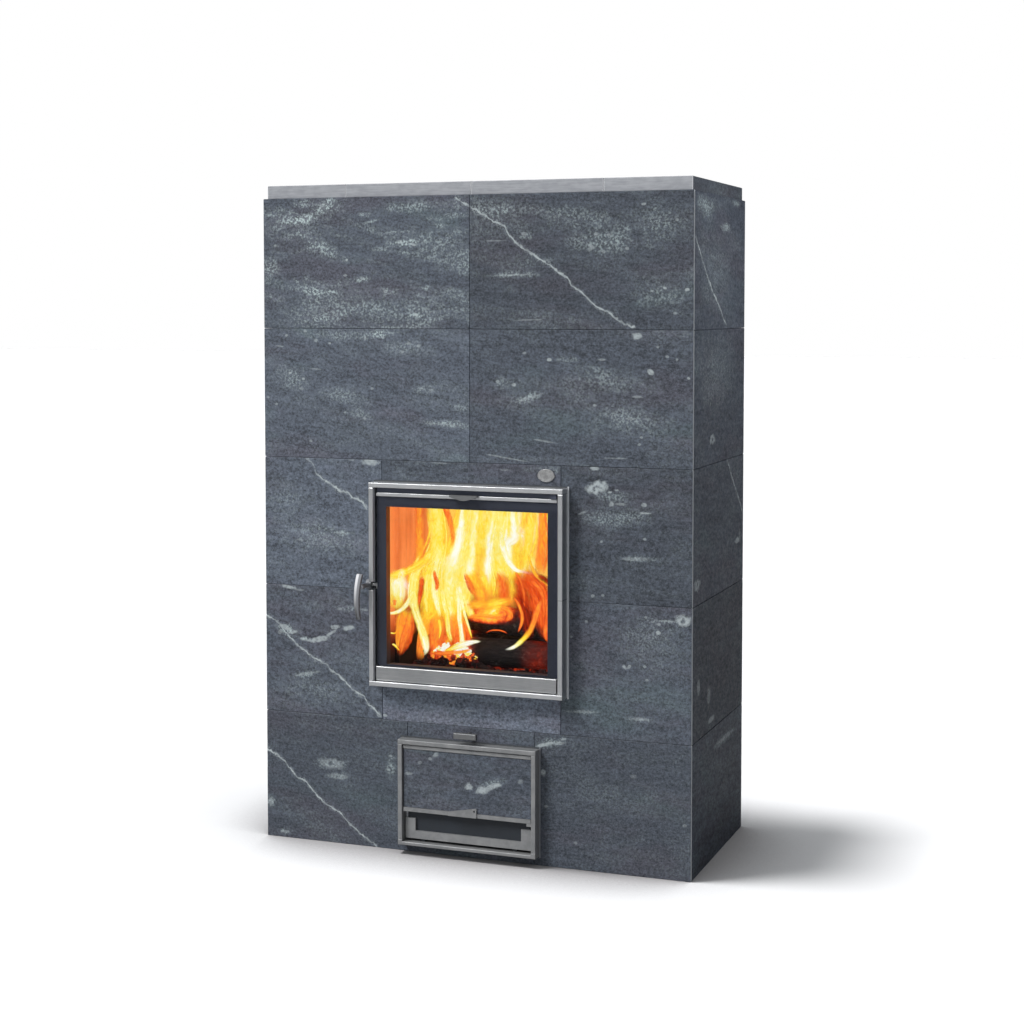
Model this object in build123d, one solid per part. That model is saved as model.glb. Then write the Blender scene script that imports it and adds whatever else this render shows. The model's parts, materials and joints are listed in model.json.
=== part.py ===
from build123d import *
import os

# Soapstone masonry heater. Origin at the centre of its base on the floor.
# +X is to the right seen from the front, -Y is the front, +Z is up.
# The word proud means how far a face stands in front of the stone front.

# Stone shell
body_width = 1020.0
course_height = 296.0
course_count = 5
shell_wall = 60.0
stone_joint = 0.6
stone_arris = 1.0
corner_arris = 5.0
corner_joint = 0.8

# Top slabs
slab_thickness = 30.0
slab_side_inset = 6.0
slab_front_inset = 10.0
slab_back_inset = 8.0
slab_end_width = 198.0
slab_arris = 1.2

# Firebox door frame, over the second and third courses
door_frame_width = 460.0
door_frame_rise = 84.0
door_lintel_face = 48.0
door_frame_proud = 38.0
door_frame_bar = 11.0
door_bay_side_lap = 16.0
door_bay_lap = 12.0
bar_round = 1.6
stile_joint = 0.3
cut_margin = 1.0

# Plates that close the stone bays behind both frames
flange_thickness = 3.0
flange_overhang = 3.0
sleeve_wall = 3.0
sleeve_clearance = 1.0
door_landing = 15.0

# Firebox door leaf
leaf_side_gap = 4.5
leaf_end_gap = 1.5
leaf_proud = 25.0
leaf_back_proud = 5.0
window_side_border = 22.5
window_top_border = 41.5
panel_height = 32.5
panel_proud = 33.0
panel_round = 2.5
window_sill_rise = 4.5
top_bar_height = 8.5
top_bar_drop = 10.0
top_bar_lip = 1.0
glass_thickness = 4.0
glass_side_margin = 2.5
glass_fit = 0.3
gasket_width = 8.0
gasket_inset = 9.5
gasket_back_proud = 3.5

# Door hinges
hinge_pin_radius = 2.5
hinge_bore_clearance = 0.05
door_hinge_inset = 6.5
hinge_lug_width = 14.0
hinge_lug_gap = 0.5
pin_in_frame = 6.0
pin_in_leaf = 8.0

# Door handle and latch
handle_drop = 3.0
handle_axis_proud = 15.0
hub_radius = 11.5
hub_length = 13.0
hub_side_gap = 1.0
shaft_radius = 4.0
shaft_clearance = 0.05
shaft_reach = 18.0
shaft_in_hub = 8.5
notch_height = 18.0
grip_top_rise = 24.0
grip_middle_drop = 20.0
grip_bottom_drop = 70.0
grip_top_proud = 54.0
grip_middle_proud = 69.0
grip_bottom_proud = 61.0
grip_thickness = 8.0
grip_top_width = 15.0
grip_bottom_width = 10.0
grip_hub_offset = 7.0
grip_round = 2.0
neck_radius = 5.5
neck_end_proud = 64.0
cam_radius = 8.0
cam_offset = 2.0
cam_thickness = 2.4
cam_side_gap = 0.7

# Air slide on the door
slide_half_width = 32.5
slide_tip_half_width = 5.0
slide_height = 12.0
slide_shoulder = 4.0
slide_proud = 42.0
slide_rise = 1.5
slide_travel = 20.0
slide_tongue_half = 5.0
slide_tongue_height = 4.0
slide_clearance = 0.3

# Ash door frame, in the base course
ash_frame_width = 330.0
ash_lintel_face = 35.0
ash_frame_bottom = 21.0
ash_frame_proud = 28.0
ash_frame_bar = 10.5
ash_rail_height = 7.5
ash_rail_end_height = 12.5
ash_rail_chamfer = 1.0
ash_bay_side_lap = 12.5
ash_bay_lap = 12.0
ash_bay_floor_drop = 1.5

# Ash door leaf
ash_leaf_gap = 2.0
ash_leaf_top_gap = 1.5
ash_leaf_drawer_gap = 3.0
ash_leaf_back_proud = 7.0
ash_leaf_plate = 3.0
ash_bar_height = 9.0
ash_bar_proud = 24.0
ash_stone_proud = 22.0
ash_stone_fit = 0.5
ash_hinge_inset = 5.5
ash_hinge_proud = 20.5
ash_lug_drop = 6.0
ash_lug_wall = 1.5
ash_lug_gap = 0.5
tab_left = -43.0
tab_right = 25.0
tab_height = 12.0
tab_thickness = 4.0
tab_hole_radius = 2.2
tab_hole_inset = 5.0
tab_tip = 4.0

# Ash drawer
drawer_side_clearance = 2.0
drawer_back_clearance = 25.0
drawer_front_height = 61.0
drawer_lip = 7.0
drawer_wall = 2.0
drawer_front_proud = 10.0
drawer_length = 285.0
skid_height = 5.5
skid_width = 10.0
skid_centre = 110.0
skid_clearance = 0.3
trim_side_gap = 3.5
trim_thickness = 5.0
trim_rise = 1.0
trim_height = 46.0
trim_arm_width = 24.0
trim_base_height = 18.0

# Air control above the ash door
control_drop = 15.0
control_bar_width = 54.0
control_bar_height = 13.5
control_bar_depth = 10.0
control_bar_proud = 34.0
control_bar_round = 2.0
control_rod_radius = 4.0
control_rod_clearance = 0.6
control_rod_length = 150.0
control_plate_width = 120.0
control_plate_height = 40.0
control_plate_thickness = 3.0

# Oval plate on the lintel
oval_width = 40.0
oval_height = 28.5
oval_thickness = 3.0
oval_inset = 34.0
oval_rise = 25.5
oval_bevel = 1.0

# Inner core
core_gap = 2.0
core_wall = 60.0
firebox_half_width = 200.0
firebox_back_wall = 50.0
firebox_depth = 262.0
floor_thickness = 55.0
firebox_floor_drop = 7.0
throat_rise = 22.0
throat_thickness = 50.0
throat_half_width = 150.0
throat_depth = 90.0
throat_back_inset = 30.0
chamber_side_opening = 89.7
chamber_front_wall = 30.0
roof_thickness = 40.0
roof_fit = 0.3
ash_chamber_side_room = 5.5
ash_back_wall = 40.0
insulation_clearance = 0.5
insulation_thickness = 23.5

# Grate in the firebox floor
grate_width = 220.0
grate_depth = 170.0
grate_thickness = 22.0
grate_rim = 14.0
grate_fit = 1.0
grate_ledge = 12.0
grate_slot = 9.0
grate_rib = 9.0

# Flue collar in the back
collar_radius = 80.0
collar_wall = 3.0
collar_length = 58.0
collar_height = 180.0
collar_fit = 1.0

# Fire bed
ember_width = 310.0
ember_depth = 190.0
ember_height = 18.0
ember_chamfer = 8.0
log_radius = 34.0
log_length = 330.0
log_spacing = 84.0
log_turn = 2.0
top_log_turn = -22.0
log_gap = 0.4

# The depth is the inner core's depth with a shell wall in front and behind
core_depth = firebox_depth + firebox_back_wall + insulation_clearance + insulation_thickness
body_depth = core_depth + 2 * (core_gap + shell_wall)
front_y = -body_depth / 2
back_y = body_depth / 2
shell_top = course_height * course_count
cavity_half_x = body_width / 2 - shell_wall
cavity_front_y = front_y + shell_wall
cavity_back_y = back_y - shell_wall

# Heights of both door frames, from the courses that they stand in
door_frame_bottom = course_height + door_frame_rise
frame_top = 3 * course_height - door_lintel_face
frame_half = door_frame_width / 2
door_bay_half = frame_half - door_bay_side_lap
door_bay_bottom = door_frame_bottom + door_bay_lap
door_bay_top = frame_top - door_bay_lap
ash_frame_top = course_height - ash_lintel_face
ash_half = ash_frame_width / 2
ash_bay_half = ash_half - ash_bay_side_lap
ash_bay_top = ash_frame_top - ash_bay_lap
runner_z = ash_frame_bottom + ash_rail_height
ash_bay_floor = runner_z - ash_bay_floor_drop
control_height = course_height - control_drop


def proud_y(proud):
    # Y of a plane that stands the given distance in front of the stone front
    return front_y - proud


def block(x0, x1, y0, y1, z0, z1):
    # Rectangular block between two corners
    centre = ((x0 + x1) / 2, (y0 + y1) / 2, (z0 + z1) / 2)
    return Pos(*centre) * Box(abs(x1 - x0), abs(y1 - y0), abs(z1 - z0))


def slab_piece(half_x, proud_back, proud_front, z0, z1):
    # Block centred on X between two proud planes
    return block(-half_x, half_x, proud_y(proud_front), proud_y(proud_back), z0, z1)


def rod_x(x0, x1, y, z, radius):
    return Pos((x0 + x1) / 2, y, z) * Rot(0, 90, 0) * Cylinder(radius, abs(x1 - x0))


def rod_y(x, y0, y1, z, radius):
    return Pos(x, (y0 + y1) / 2, z) * Rot(90, 0, 0) * Cylinder(radius, abs(y1 - y0))


def rod_z(x, y, z0, z1, radius):
    return Pos(x, y, (z0 + z1) / 2) * Cylinder(radius, abs(z1 - z0))


def plan_prism(points, z0, z1):
    # Prism standing on a plan outline
    outline = make_face(Polyline(*points, close=True))
    return extrude(Pos(0, 0, z0) * outline, z1 - z0)


def front_prism(points, proud_back, proud_front):
    # Prism with a front outline of X and Z points, between two proud planes
    plane = Plane(origin=(0, proud_y(proud_back), 0), x_dir=(1, 0, 0), z_dir=(0, -1, 0))
    outline = make_face(Polyline(*points, close=True))
    return extrude(plane * outline, proud_front - proud_back)


def edges_on_plane(solid, axis, position):
    # Straight edges that lie wholly in one plane square to the axis
    return solid.edges().filter_by_position(axis, position - 0.01, position + 0.01)


def course_limits(course):
    # Low and high Z of a course, less half a joint where another course meets it
    low = course * course_height
    high = low + course_height
    if course > 0:
        low = low + stone_joint / 2
    if course < course_count - 1:
        high = high - stone_joint / 2
    return low, high


def seam_arrises(stone, plane_y, x_corner):
    # Face edges of a stone, without the sharp mitred corner edge
    face_edges = edges_on_plane(stone, Axis.Y, plane_y)
    return [e for e in face_edges if abs(abs(e.center().X) - x_corner) > cut_margin]


def wall_stone(x0, x1, z0, z1):
    # Front stone between two seams; an end on the body's side is mitred
    half = body_width / 2
    left_face = x0 + stone_joint / 2
    right_face = x1 - stone_joint / 2
    left_inner = left_face
    right_inner = right_face
    if x0 <= -half:
        left_face = -half + corner_joint
        left_inner = left_face + shell_wall
    if x1 >= half:
        right_face = half - corner_joint
        right_inner = right_face - shell_wall
    points = [
        (left_face, front_y),
        (right_face, front_y),
        (right_inner, cavity_front_y),
        (left_inner, cavity_front_y),
    ]
    stone = plan_prism(points, z0, z1)
    return chamfer(seam_arrises(stone, front_y, half - corner_joint), stone_arris)


def side_stone(course):
    # Right side stone of a course, mitred at both ends, with broad corner arrises
    z0, z1 = course_limits(course)
    half = body_width / 2
    points = [
        (half, front_y),
        (half, back_y),
        (half - shell_wall, cavity_back_y),
        (half - shell_wall, cavity_front_y),
    ]
    stone = plan_prism(points, z0, z1)
    corners = [e for e in stone.edges().filter_by(Axis.Z) if e.center().X > half - cut_margin]
    stone = chamfer(corners, corner_arris)
    rims = edges_on_plane(stone, Axis.X, half).filter_by(Axis.Y)
    return chamfer(rims, stone_arris)


def back_stone(course):
    # Back stone across the whole width of a course
    z0, z1 = course_limits(course)
    edge = body_width / 2 - corner_joint
    inner = edge - shell_wall
    points = [(-edge, back_y), (edge, back_y), (inner, cavity_back_y), (-inner, cavity_back_y)]
    stone = plan_prism(points, z0, z1)
    return chamfer(seam_arrises(stone, back_y, edge), stone_arris)


def ring_plate(half_x, z0, z1, hole_half_x, hole_z0, hole_z1, proud_back, proud_front):
    # Rectangular plate with a rectangular opening
    plate = slab_piece(half_x, proud_back, proud_front, z0, z1)
    cut_back = proud_back - cut_margin
    cut_front = proud_front + cut_margin
    return plate - slab_piece(hole_half_x, cut_back, cut_front, hole_z0, hole_z1)


nodes = {}

# Stone shell
half_width = body_width / 2
course_names = ["base", "lower", "middle", "upper", "top"]
for course, name in enumerate(course_names):
    z_low, z_high = course_limits(course)
    if course == 0:
        seam = ash_bay_half
    elif course < 3:
        seam = door_bay_half
    else:
        seam = 0.0
    nodes[f"front_stone_{name}_left"] = wall_stone(-half_width, -seam, z_low, z_high)
    nodes[f"front_stone_{name}_right"] = wall_stone(seam, half_width, z_low, z_high)
    right_side = side_stone(course)
    nodes[f"side_stones_{name}"] = Compound([right_side, mirror(right_side, Plane.YZ)])

middle_high = course_limits(2)[1]
lower_low = course_limits(1)[0]
base_low, base_high = course_limits(0)
nodes["door_lintel_stone"] = wall_stone(-door_bay_half, door_bay_half, door_bay_top, middle_high)
nodes["door_sill_stone"] = wall_stone(-door_bay_half, door_bay_half, lower_low, door_bay_bottom)
nodes["threshold_stone"] = wall_stone(-ash_bay_half, ash_bay_half, base_low, ash_bay_floor - sleeve_wall)
ash_lintel = wall_stone(-ash_bay_half, ash_bay_half, ash_bay_top, base_high)
rod_hole_radius = control_rod_radius + control_rod_clearance
rod_hole = rod_y(0, front_y - cut_margin, cavity_front_y + cut_margin, control_height, rod_hole_radius)
nodes["ash_lintel_stone"] = ash_lintel - rod_hole

collar_hole_radius = collar_radius + collar_wall + collar_fit
collar_hole = rod_y(0, cavity_back_y - cut_margin, back_y + cut_margin, collar_height, collar_hole_radius)
back_stones = []
for course in range(course_count):
    stone = back_stone(course)
    if course * course_height < collar_height + collar_hole_radius:
        stone = stone - collar_hole
    back_stones.append(stone)
nodes["back_stones"] = Compound(back_stones)

# Top slabs: two narrow ones at the ends and two wide ones that meet on the centre line
slab_half = half_width - slab_side_inset
slab_seam = slab_half - slab_end_width
slab_limits = {
    "top_slab_far_left": (-slab_half, -slab_seam),
    "top_slab_left": (-slab_seam, 0.0),
    "top_slab_right": (0.0, slab_seam),
    "top_slab_far_right": (slab_seam, slab_half),
}
slab_top = shell_top + slab_thickness
for name, (x_low, x_high) in slab_limits.items():
    x_low = x_low + stone_joint / 2
    x_high = x_high - stone_joint / 2
    slab = block(x_low, x_high, front_y + slab_front_inset, back_y - slab_back_inset, shell_top, slab_top)
    rims = edges_on_plane(slab, Axis.Z, slab_top) + edges_on_plane(slab, Axis.Y, front_y + slab_front_inset)
    nodes[name] = chamfer(list(set(rims)), slab_arris)

# Firebox door flange and sleeve, one welded frame that lines the stone bay
bar_inner_half = frame_half - door_frame_bar
bar_low = door_frame_bottom + door_frame_bar
bar_high = frame_top - door_frame_bar
sleeve_half = door_bay_half - sleeve_clearance
sleeve_low = door_bay_bottom + sleeve_clearance
sleeve_high = door_bay_top - sleeve_clearance
landing_half = sleeve_half - sleeve_wall - door_landing
landing_low = sleeve_low + sleeve_wall + door_landing
landing_high = sleeve_high - sleeve_wall - door_landing
door_flange = ring_plate(
    frame_half + flange_overhang,
    door_frame_bottom - flange_overhang,
    frame_top + flange_overhang,
    landing_half,
    landing_low,
    landing_high,
    0,
    flange_thickness,
)
door_sleeve = ring_plate(
    sleeve_half,
    sleeve_low,
    sleeve_high,
    sleeve_half - sleeve_wall,
    sleeve_low + sleeve_wall,
    sleeve_high - sleeve_wall,
    -shell_wall,
    0,
)
nodes["door_flange"] = door_flange + door_sleeve

# Firebox door frame: rails across the full width, stiles between them
door_rails = []
for rail_low in (door_frame_bottom, bar_high):
    rail = slab_piece(frame_half, flange_thickness, door_frame_proud, rail_low, rail_low + door_frame_bar)
    rail = fillet(edges_on_plane(rail, Axis.Y, proud_y(door_frame_proud)), bar_round)
    door_rails.append(rail)

# The left stile is in two lengths, with the latch shaft between them
handle_height = (door_frame_bottom + frame_top) / 2 - handle_drop
stile_low = bar_low + stile_joint
stile_high = bar_high - stile_joint
door_stiles = []
for side, z_low, z_high in (
    (-1, stile_low, handle_height - notch_height / 2),
    (-1, handle_height + notch_height / 2, stile_high),
    (1, stile_low, stile_high),
):
    x_inner = side * bar_inner_half
    x_outer = side * frame_half
    stile = block(x_inner, x_outer, proud_y(door_frame_proud), proud_y(flange_thickness), z_low, z_high)
    stile = fillet(edges_on_plane(stile, Axis.Y, proud_y(door_frame_proud)), bar_round)
    door_stiles.append(stile)

# Firebox door leaf
leaf_half = bar_inner_half - leaf_side_gap
leaf_low = bar_low + leaf_end_gap
leaf_high = bar_high - leaf_end_gap
window_half = leaf_half - window_side_border
panel_top = leaf_low + panel_height
window_low = panel_top + window_sill_rise
window_high = leaf_high - window_top_border
hinge_x = leaf_half - door_hinge_inset
hinge_y = proud_y((leaf_proud + panel_proud) / 2)
leaf = ring_plate(
    leaf_half,
    leaf_low,
    leaf_high,
    window_half,
    window_low,
    window_high,
    leaf_back_proud,
    leaf_proud,
)
hinge_bore_radius = hinge_pin_radius + hinge_bore_clearance
top_bar_high = leaf_high - top_bar_drop
top_bar_low = top_bar_high - top_bar_height
leaf_lug = block(
    leaf_half - hinge_lug_width,
    leaf_half,
    proud_y(panel_proud),
    proud_y(leaf_proud),
    top_bar_high + hinge_lug_gap,
    leaf_high,
)
leaf = leaf + leaf_lug
pin_bore_depth = pin_in_leaf + hinge_lug_gap
leaf = leaf - rod_z(hinge_x, hinge_y, leaf_high - pin_bore_depth, leaf_high + cut_margin, hinge_bore_radius)
handle_y = proud_y(handle_axis_proud)
shaft_end_x = -leaf_half + shaft_reach
shaft_bore_end_x = shaft_end_x + hinge_lug_gap
shaft_bore_radius = shaft_radius + shaft_clearance
shaft_bore = rod_x(-leaf_half - cut_margin, shaft_bore_end_x, handle_y, handle_height, shaft_bore_radius)
nodes["door_leaf"] = leaf - shaft_bore

panel = slab_piece(leaf_half, leaf_proud, panel_proud, leaf_low, panel_top)
panel = fillet(edges_on_plane(panel, Axis.Y, proud_y(panel_proud)).filter_by(Axis.X), panel_round)
panel_bore = rod_z(hinge_x, hinge_y, leaf_low - cut_margin, leaf_low + pin_bore_depth, hinge_bore_radius)
nodes["door_bottom_panel"] = panel - panel_bore

top_bar_proud = leaf_proud + glass_thickness + top_bar_lip
top_bar = slab_piece(leaf_half, leaf_proud, top_bar_proud, top_bar_low, top_bar_high)
top_bar = fillet(edges_on_plane(top_bar, Axis.Y, proud_y(top_bar_proud)).filter_by(Axis.X), bar_round)
slide_centre_z = (top_bar_low + top_bar_high) / 2
slot_half = slide_tongue_half + slide_travel + 1
slot_half_height = slide_tongue_height / 2 + slide_clearance
slide_slot = slab_piece(
    slot_half,
    leaf_proud - cut_margin,
    top_bar_proud + cut_margin,
    slide_centre_z - slot_half_height,
    slide_centre_z + slot_half_height,
)
nodes["door_top_bar"] = top_bar - slide_slot

nodes["door_glass"] = slab_piece(
    leaf_half - glass_side_margin,
    leaf_proud,
    leaf_proud + glass_thickness,
    panel_top + glass_fit,
    top_bar_low - glass_fit,
)

gasket_half = leaf_half - gasket_inset
gasket_low = leaf_low + gasket_inset
gasket_high = leaf_high - gasket_inset
nodes["door_gasket"] = ring_plate(
    gasket_half,
    gasket_low,
    gasket_high,
    gasket_half - gasket_width,
    gasket_low + gasket_width,
    gasket_high - gasket_width,
    gasket_back_proud,
    leaf_back_proud,
)

# Hinge pins stand in the rails and reach into the leaf
lower_pin = rod_z(hinge_x, hinge_y, bar_low - pin_in_frame, leaf_low + pin_in_leaf, hinge_pin_radius)
upper_pin = rod_z(hinge_x, hinge_y, leaf_high - pin_in_leaf, bar_high + pin_in_frame, hinge_pin_radius)
nodes["door_hinge_pins"] = Compound([lower_pin, upper_pin])
door_rails[0] = door_rails[0] - lower_pin
door_rails[1] = door_rails[1] - upper_pin
nodes["door_frame_rails"] = Compound(door_rails)
nodes["door_frame_stiles"] = Compound(door_stiles)

# Air slide: a pointed pull in front of the top bar with a tongue through its slot
slide_top = top_bar_high + slide_rise
slide_points = [
    (-slide_half_width, slide_top),
    (slide_half_width, slide_top),
    (slide_half_width, slide_top - slide_shoulder),
    (slide_tip_half_width, slide_top - slide_height),
    (-slide_tip_half_width, slide_top - slide_height),
    (-slide_half_width, slide_top - slide_shoulder),
]
slide_pull = front_prism(slide_points, top_bar_proud + slide_clearance, slide_proud)
slide_tongue = slab_piece(
    slide_tongue_half,
    leaf_proud + slide_clearance,
    top_bar_proud + 2,
    slide_centre_z - slide_tongue_height / 2,
    slide_centre_z + slide_tongue_height / 2,
)
nodes["air_slide"] = slide_pull + slide_tongue

# Handle: hub, neck and a bowed grip that narrows downwards
hub_inner_x = -frame_half - hub_side_gap
hub_outer_x = hub_inner_x - hub_length
grip_x = hub_inner_x - hub_length / 2 - grip_hub_offset
grip_top_height = handle_height + grip_top_rise
grip_middle_height = handle_height - grip_middle_drop
grip_bottom_height = handle_height - grip_bottom_drop
grip_arc = ThreePointArc(
    (-proud_y(grip_top_proud), grip_top_height),
    (-proud_y(grip_middle_proud), grip_middle_height),
    (-proud_y(grip_bottom_proud), grip_bottom_height),
)
side_plane = Plane(origin=(0, 0, 0), x_dir=(0, -1, 0), z_dir=(-1, 0, 0))
grip_band = offset(side_plane * grip_arc, grip_thickness / 2, side=Side.BOTH)
grip_side = extrude(make_face(grip_band.edges()), grip_top_width, both=True)
grip_side = Pos(grip_x, 0, 0) * grip_side
grip_margin = grip_thickness
grip_points = [
    (grip_x - grip_top_width / 2, grip_top_height + grip_margin),
    (grip_x + grip_top_width / 2, grip_top_height + grip_margin),
    (grip_x + grip_bottom_width / 2, grip_bottom_height - grip_margin),
    (grip_x - grip_bottom_width / 2, grip_bottom_height - grip_margin),
]
grip = grip_side & front_prism(grip_points, 0, grip_middle_proud + grip_margin)
grip = fillet(grip.edges().filter_by(lambda e: e.length > grip_top_width * 2), grip_round)
hub = rod_x(hub_outer_x, hub_inner_x, handle_y, handle_height, hub_radius)
hub = fillet(hub.edges().filter_by(GeomType.CIRCLE).sort_by(Axis.X)[0], grip_round)
neck_x = (hub_outer_x + hub_inner_x) / 2
neck = rod_y(neck_x, proud_y(neck_end_proud), handle_y, handle_height, neck_radius)
shaft_seat_x = hub_inner_x - shaft_in_hub
handle_bore = rod_x(shaft_seat_x, hub_inner_x + cut_margin, handle_y, handle_height, shaft_radius)
nodes["door_handle"] = hub + neck + grip - handle_bore

shaft = rod_x(shaft_seat_x, shaft_end_x, handle_y, handle_height, shaft_radius)
cam_outer_x = -bar_inner_half + cam_side_gap
cam = rod_x(cam_outer_x, cam_outer_x + cam_thickness, handle_y, handle_height - cam_offset, cam_radius)
nodes["latch_shaft"] = shaft + cam

# Ash door flange and sleeve
ash_inner_half = ash_half - ash_frame_bar
ash_inner_top = ash_frame_top - ash_frame_bar
ash_sleeve_half = ash_bay_half - stone_joint
ash_clear_half = ash_sleeve_half - sleeve_wall
ash_clear_top = ash_bay_top - sleeve_clearance - sleeve_wall
ash_flange = ring_plate(
    ash_half + flange_overhang,
    ash_frame_bottom - flange_overhang,
    ash_frame_top + flange_overhang,
    ash_clear_half,
    ash_bay_floor,
    ash_clear_top,
    0,
    flange_thickness,
)
ash_sleeve = ring_plate(
    ash_sleeve_half,
    ash_bay_floor - sleeve_wall,
    ash_bay_top - sleeve_clearance,
    ash_clear_half,
    ash_bay_floor,
    ash_clear_top,
    -shell_wall,
    0,
)
nodes["ash_flange"] = ash_flange + ash_sleeve

# Ash door frame: the lower rail is stepped up under the stiles
ash_rail_points = [
    (-ash_half, ash_frame_bottom),
    (ash_half, ash_frame_bottom),
    (ash_half, ash_frame_bottom + ash_rail_end_height),
    (ash_inner_half, ash_frame_bottom + ash_rail_end_height),
    (ash_inner_half, ash_frame_bottom + ash_rail_height),
    (-ash_inner_half, ash_frame_bottom + ash_rail_height),
    (-ash_inner_half, ash_frame_bottom + ash_rail_end_height),
    (-ash_half, ash_frame_bottom + ash_rail_end_height),
]
ash_lower_rail = front_prism(ash_rail_points, flange_thickness, ash_frame_proud)
ash_lower_rail = chamfer(edges_on_plane(ash_lower_rail, Axis.Y, proud_y(ash_frame_proud)), ash_rail_chamfer)
ash_upper_rail = slab_piece(ash_half, flange_thickness, ash_frame_proud, ash_inner_top, ash_frame_top)
ash_upper_rail = fillet(edges_on_plane(ash_upper_rail, Axis.Y, proud_y(ash_frame_proud)), bar_round)
ash_stiles = []
for side in (-1, 1):
    stile = block(
        side * ash_inner_half,
        side * ash_half,
        proud_y(ash_frame_proud),
        proud_y(flange_thickness),
        ash_frame_bottom + ash_rail_end_height + stile_joint,
        ash_inner_top - stile_joint,
    )
    ash_stiles.append(fillet(edges_on_plane(stile, Axis.Y, proud_y(ash_frame_proud)), bar_round))

# Ash door leaf: steel back plate with a top bar and a tab bar that hold the stone
ash_leaf_half = ash_inner_half - ash_leaf_gap
ash_leaf_top = ash_inner_top - ash_leaf_top_gap
drawer_floor_height = runner_z + skid_height
drawer_front_top = drawer_floor_height + drawer_front_height
ash_leaf_low = drawer_front_top + ash_leaf_drawer_gap
ash_plate_proud = ash_leaf_back_proud + ash_leaf_plate
ash_hinge_x = ash_leaf_half - ash_hinge_inset
ash_hinge_y = proud_y(ash_hinge_proud)
ash_plate = slab_piece(ash_leaf_half, ash_leaf_back_proud, ash_plate_proud, ash_leaf_low, ash_leaf_top)
ash_top_bar = slab_piece(
    ash_leaf_half,
    ash_leaf_back_proud,
    ash_bar_proud,
    ash_leaf_top - ash_bar_height,
    ash_leaf_top,
)
ash_bar_edges = edges_on_plane(ash_top_bar, Axis.Y, proud_y(ash_bar_proud)).filter_by(Axis.X)
ash_top_bar = fillet(ash_bar_edges, bar_round)
tab_bar_top = ash_leaf_low + ash_bar_height
ash_tab_bar = slab_piece(ash_leaf_half, ash_leaf_back_proud, ash_bar_proud, ash_leaf_low, tab_bar_top)
tab_points = [
    (tab_left, tab_bar_top - cut_margin),
    (tab_right, tab_bar_top - cut_margin),
    (tab_right, tab_bar_top + tab_height),
    (tab_right - tab_tip, tab_bar_top + tab_height),
    (tab_left, tab_bar_top),
]
tab_back_proud = ash_stone_proud + ash_stone_fit
tab_front_proud = tab_back_proud + tab_thickness
ash_tab = front_prism(tab_points, tab_back_proud, tab_front_proud)
tab_root = block(
    tab_left,
    tab_right,
    proud_y(tab_front_proud),
    proud_y(ash_bar_proud - cut_margin),
    ash_leaf_low,
    tab_bar_top,
)
tab_hole = rod_y(
    tab_right - tab_hole_inset,
    proud_y(ash_frame_proud + cut_margin),
    proud_y(ash_stone_proud),
    tab_bar_top + tab_height / 2,
    tab_hole_radius,
)
ash_leaf = ash_plate + ash_top_bar + ash_tab_bar + ash_tab + tab_root - tab_hole
for bore_z0, bore_z1 in (
    (ash_leaf_low - cut_margin, ash_leaf_low + pin_in_leaf),
    (ash_leaf_top - pin_in_leaf, ash_leaf_top + cut_margin),
):
    ash_leaf = ash_leaf - rod_z(ash_hinge_x, ash_hinge_y, bore_z0, bore_z1, hinge_bore_radius)
nodes["ash_leaf"] = ash_leaf
nodes["ash_leaf_stone"] = slab_piece(
    ash_leaf_half,
    ash_plate_proud,
    ash_stone_proud,
    tab_bar_top + ash_stone_fit,
    ash_leaf_top - ash_bar_height - ash_stone_fit,
)

# Ash door pins: the upper one stands in the rail, the lower one on a lug of the right stile
ash_lug = block(
    ash_hinge_x - hinge_pin_radius - ash_lug_wall,
    ash_inner_half + bar_round,
    proud_y(ash_hinge_proud + hinge_pin_radius + ash_lug_wall),
    proud_y(ash_hinge_proud - hinge_pin_radius - ash_lug_wall),
    ash_leaf_low - ash_lug_gap - ash_lug_drop,
    ash_leaf_low - ash_lug_gap,
)
ash_lower_pin = rod_z(
    ash_hinge_x,
    ash_hinge_y,
    ash_leaf_low - ash_lug_gap - ash_lug_drop,
    ash_leaf_low + pin_in_leaf - ash_lug_gap,
    hinge_pin_radius,
)
ash_upper_pin = rod_z(
    ash_hinge_x,
    ash_hinge_y,
    ash_leaf_top - pin_in_leaf + ash_lug_gap,
    ash_inner_top + pin_in_frame,
    hinge_pin_radius,
)
nodes["ash_hinge_pins"] = Compound([ash_lower_pin, ash_upper_pin])
ash_stiles[1] = ash_stiles[1] + ash_lug - ash_lower_pin
ash_upper_rail = ash_upper_rail - ash_upper_pin
nodes["ash_frame_bars"] = Compound([ash_lower_rail, ash_upper_rail, ash_stiles[0], ash_stiles[1]])

# Ash drawer: an open box on two skids, with a notched trim plate on its front
drawer_half = ash_clear_half - drawer_side_clearance
drawer_front_y = proud_y(drawer_front_proud)
drawer_back_y = drawer_front_y + drawer_length
drawer_wall_top = drawer_front_top - drawer_lip
drawer = block(
    -drawer_half,
    drawer_half,
    drawer_front_y,
    drawer_back_y,
    drawer_floor_height,
    drawer_wall_top,
)
drawer = drawer - block(
    -drawer_half + drawer_wall,
    drawer_half - drawer_wall,
    drawer_front_y + drawer_wall,
    drawer_back_y - drawer_wall,
    drawer_floor_height + drawer_wall,
    drawer_wall_top + cut_margin,
)
drawer = drawer + block(
    -drawer_half,
    drawer_half,
    drawer_front_y,
    drawer_front_y + drawer_wall,
    drawer_floor_height,
    drawer_front_top,
)
for side in (-1, 1):
    drawer = drawer + block(
        side * (skid_centre - skid_width / 2),
        side * (skid_centre + skid_width / 2),
        drawer_front_y,
        drawer_back_y,
        runner_z + skid_clearance,
        drawer_floor_height,
    )
nodes["ash_drawer"] = drawer
trim_half_width = ash_inner_half - trim_side_gap
trim_bottom = drawer_floor_height + trim_rise
trim_top = trim_bottom + trim_height
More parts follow.
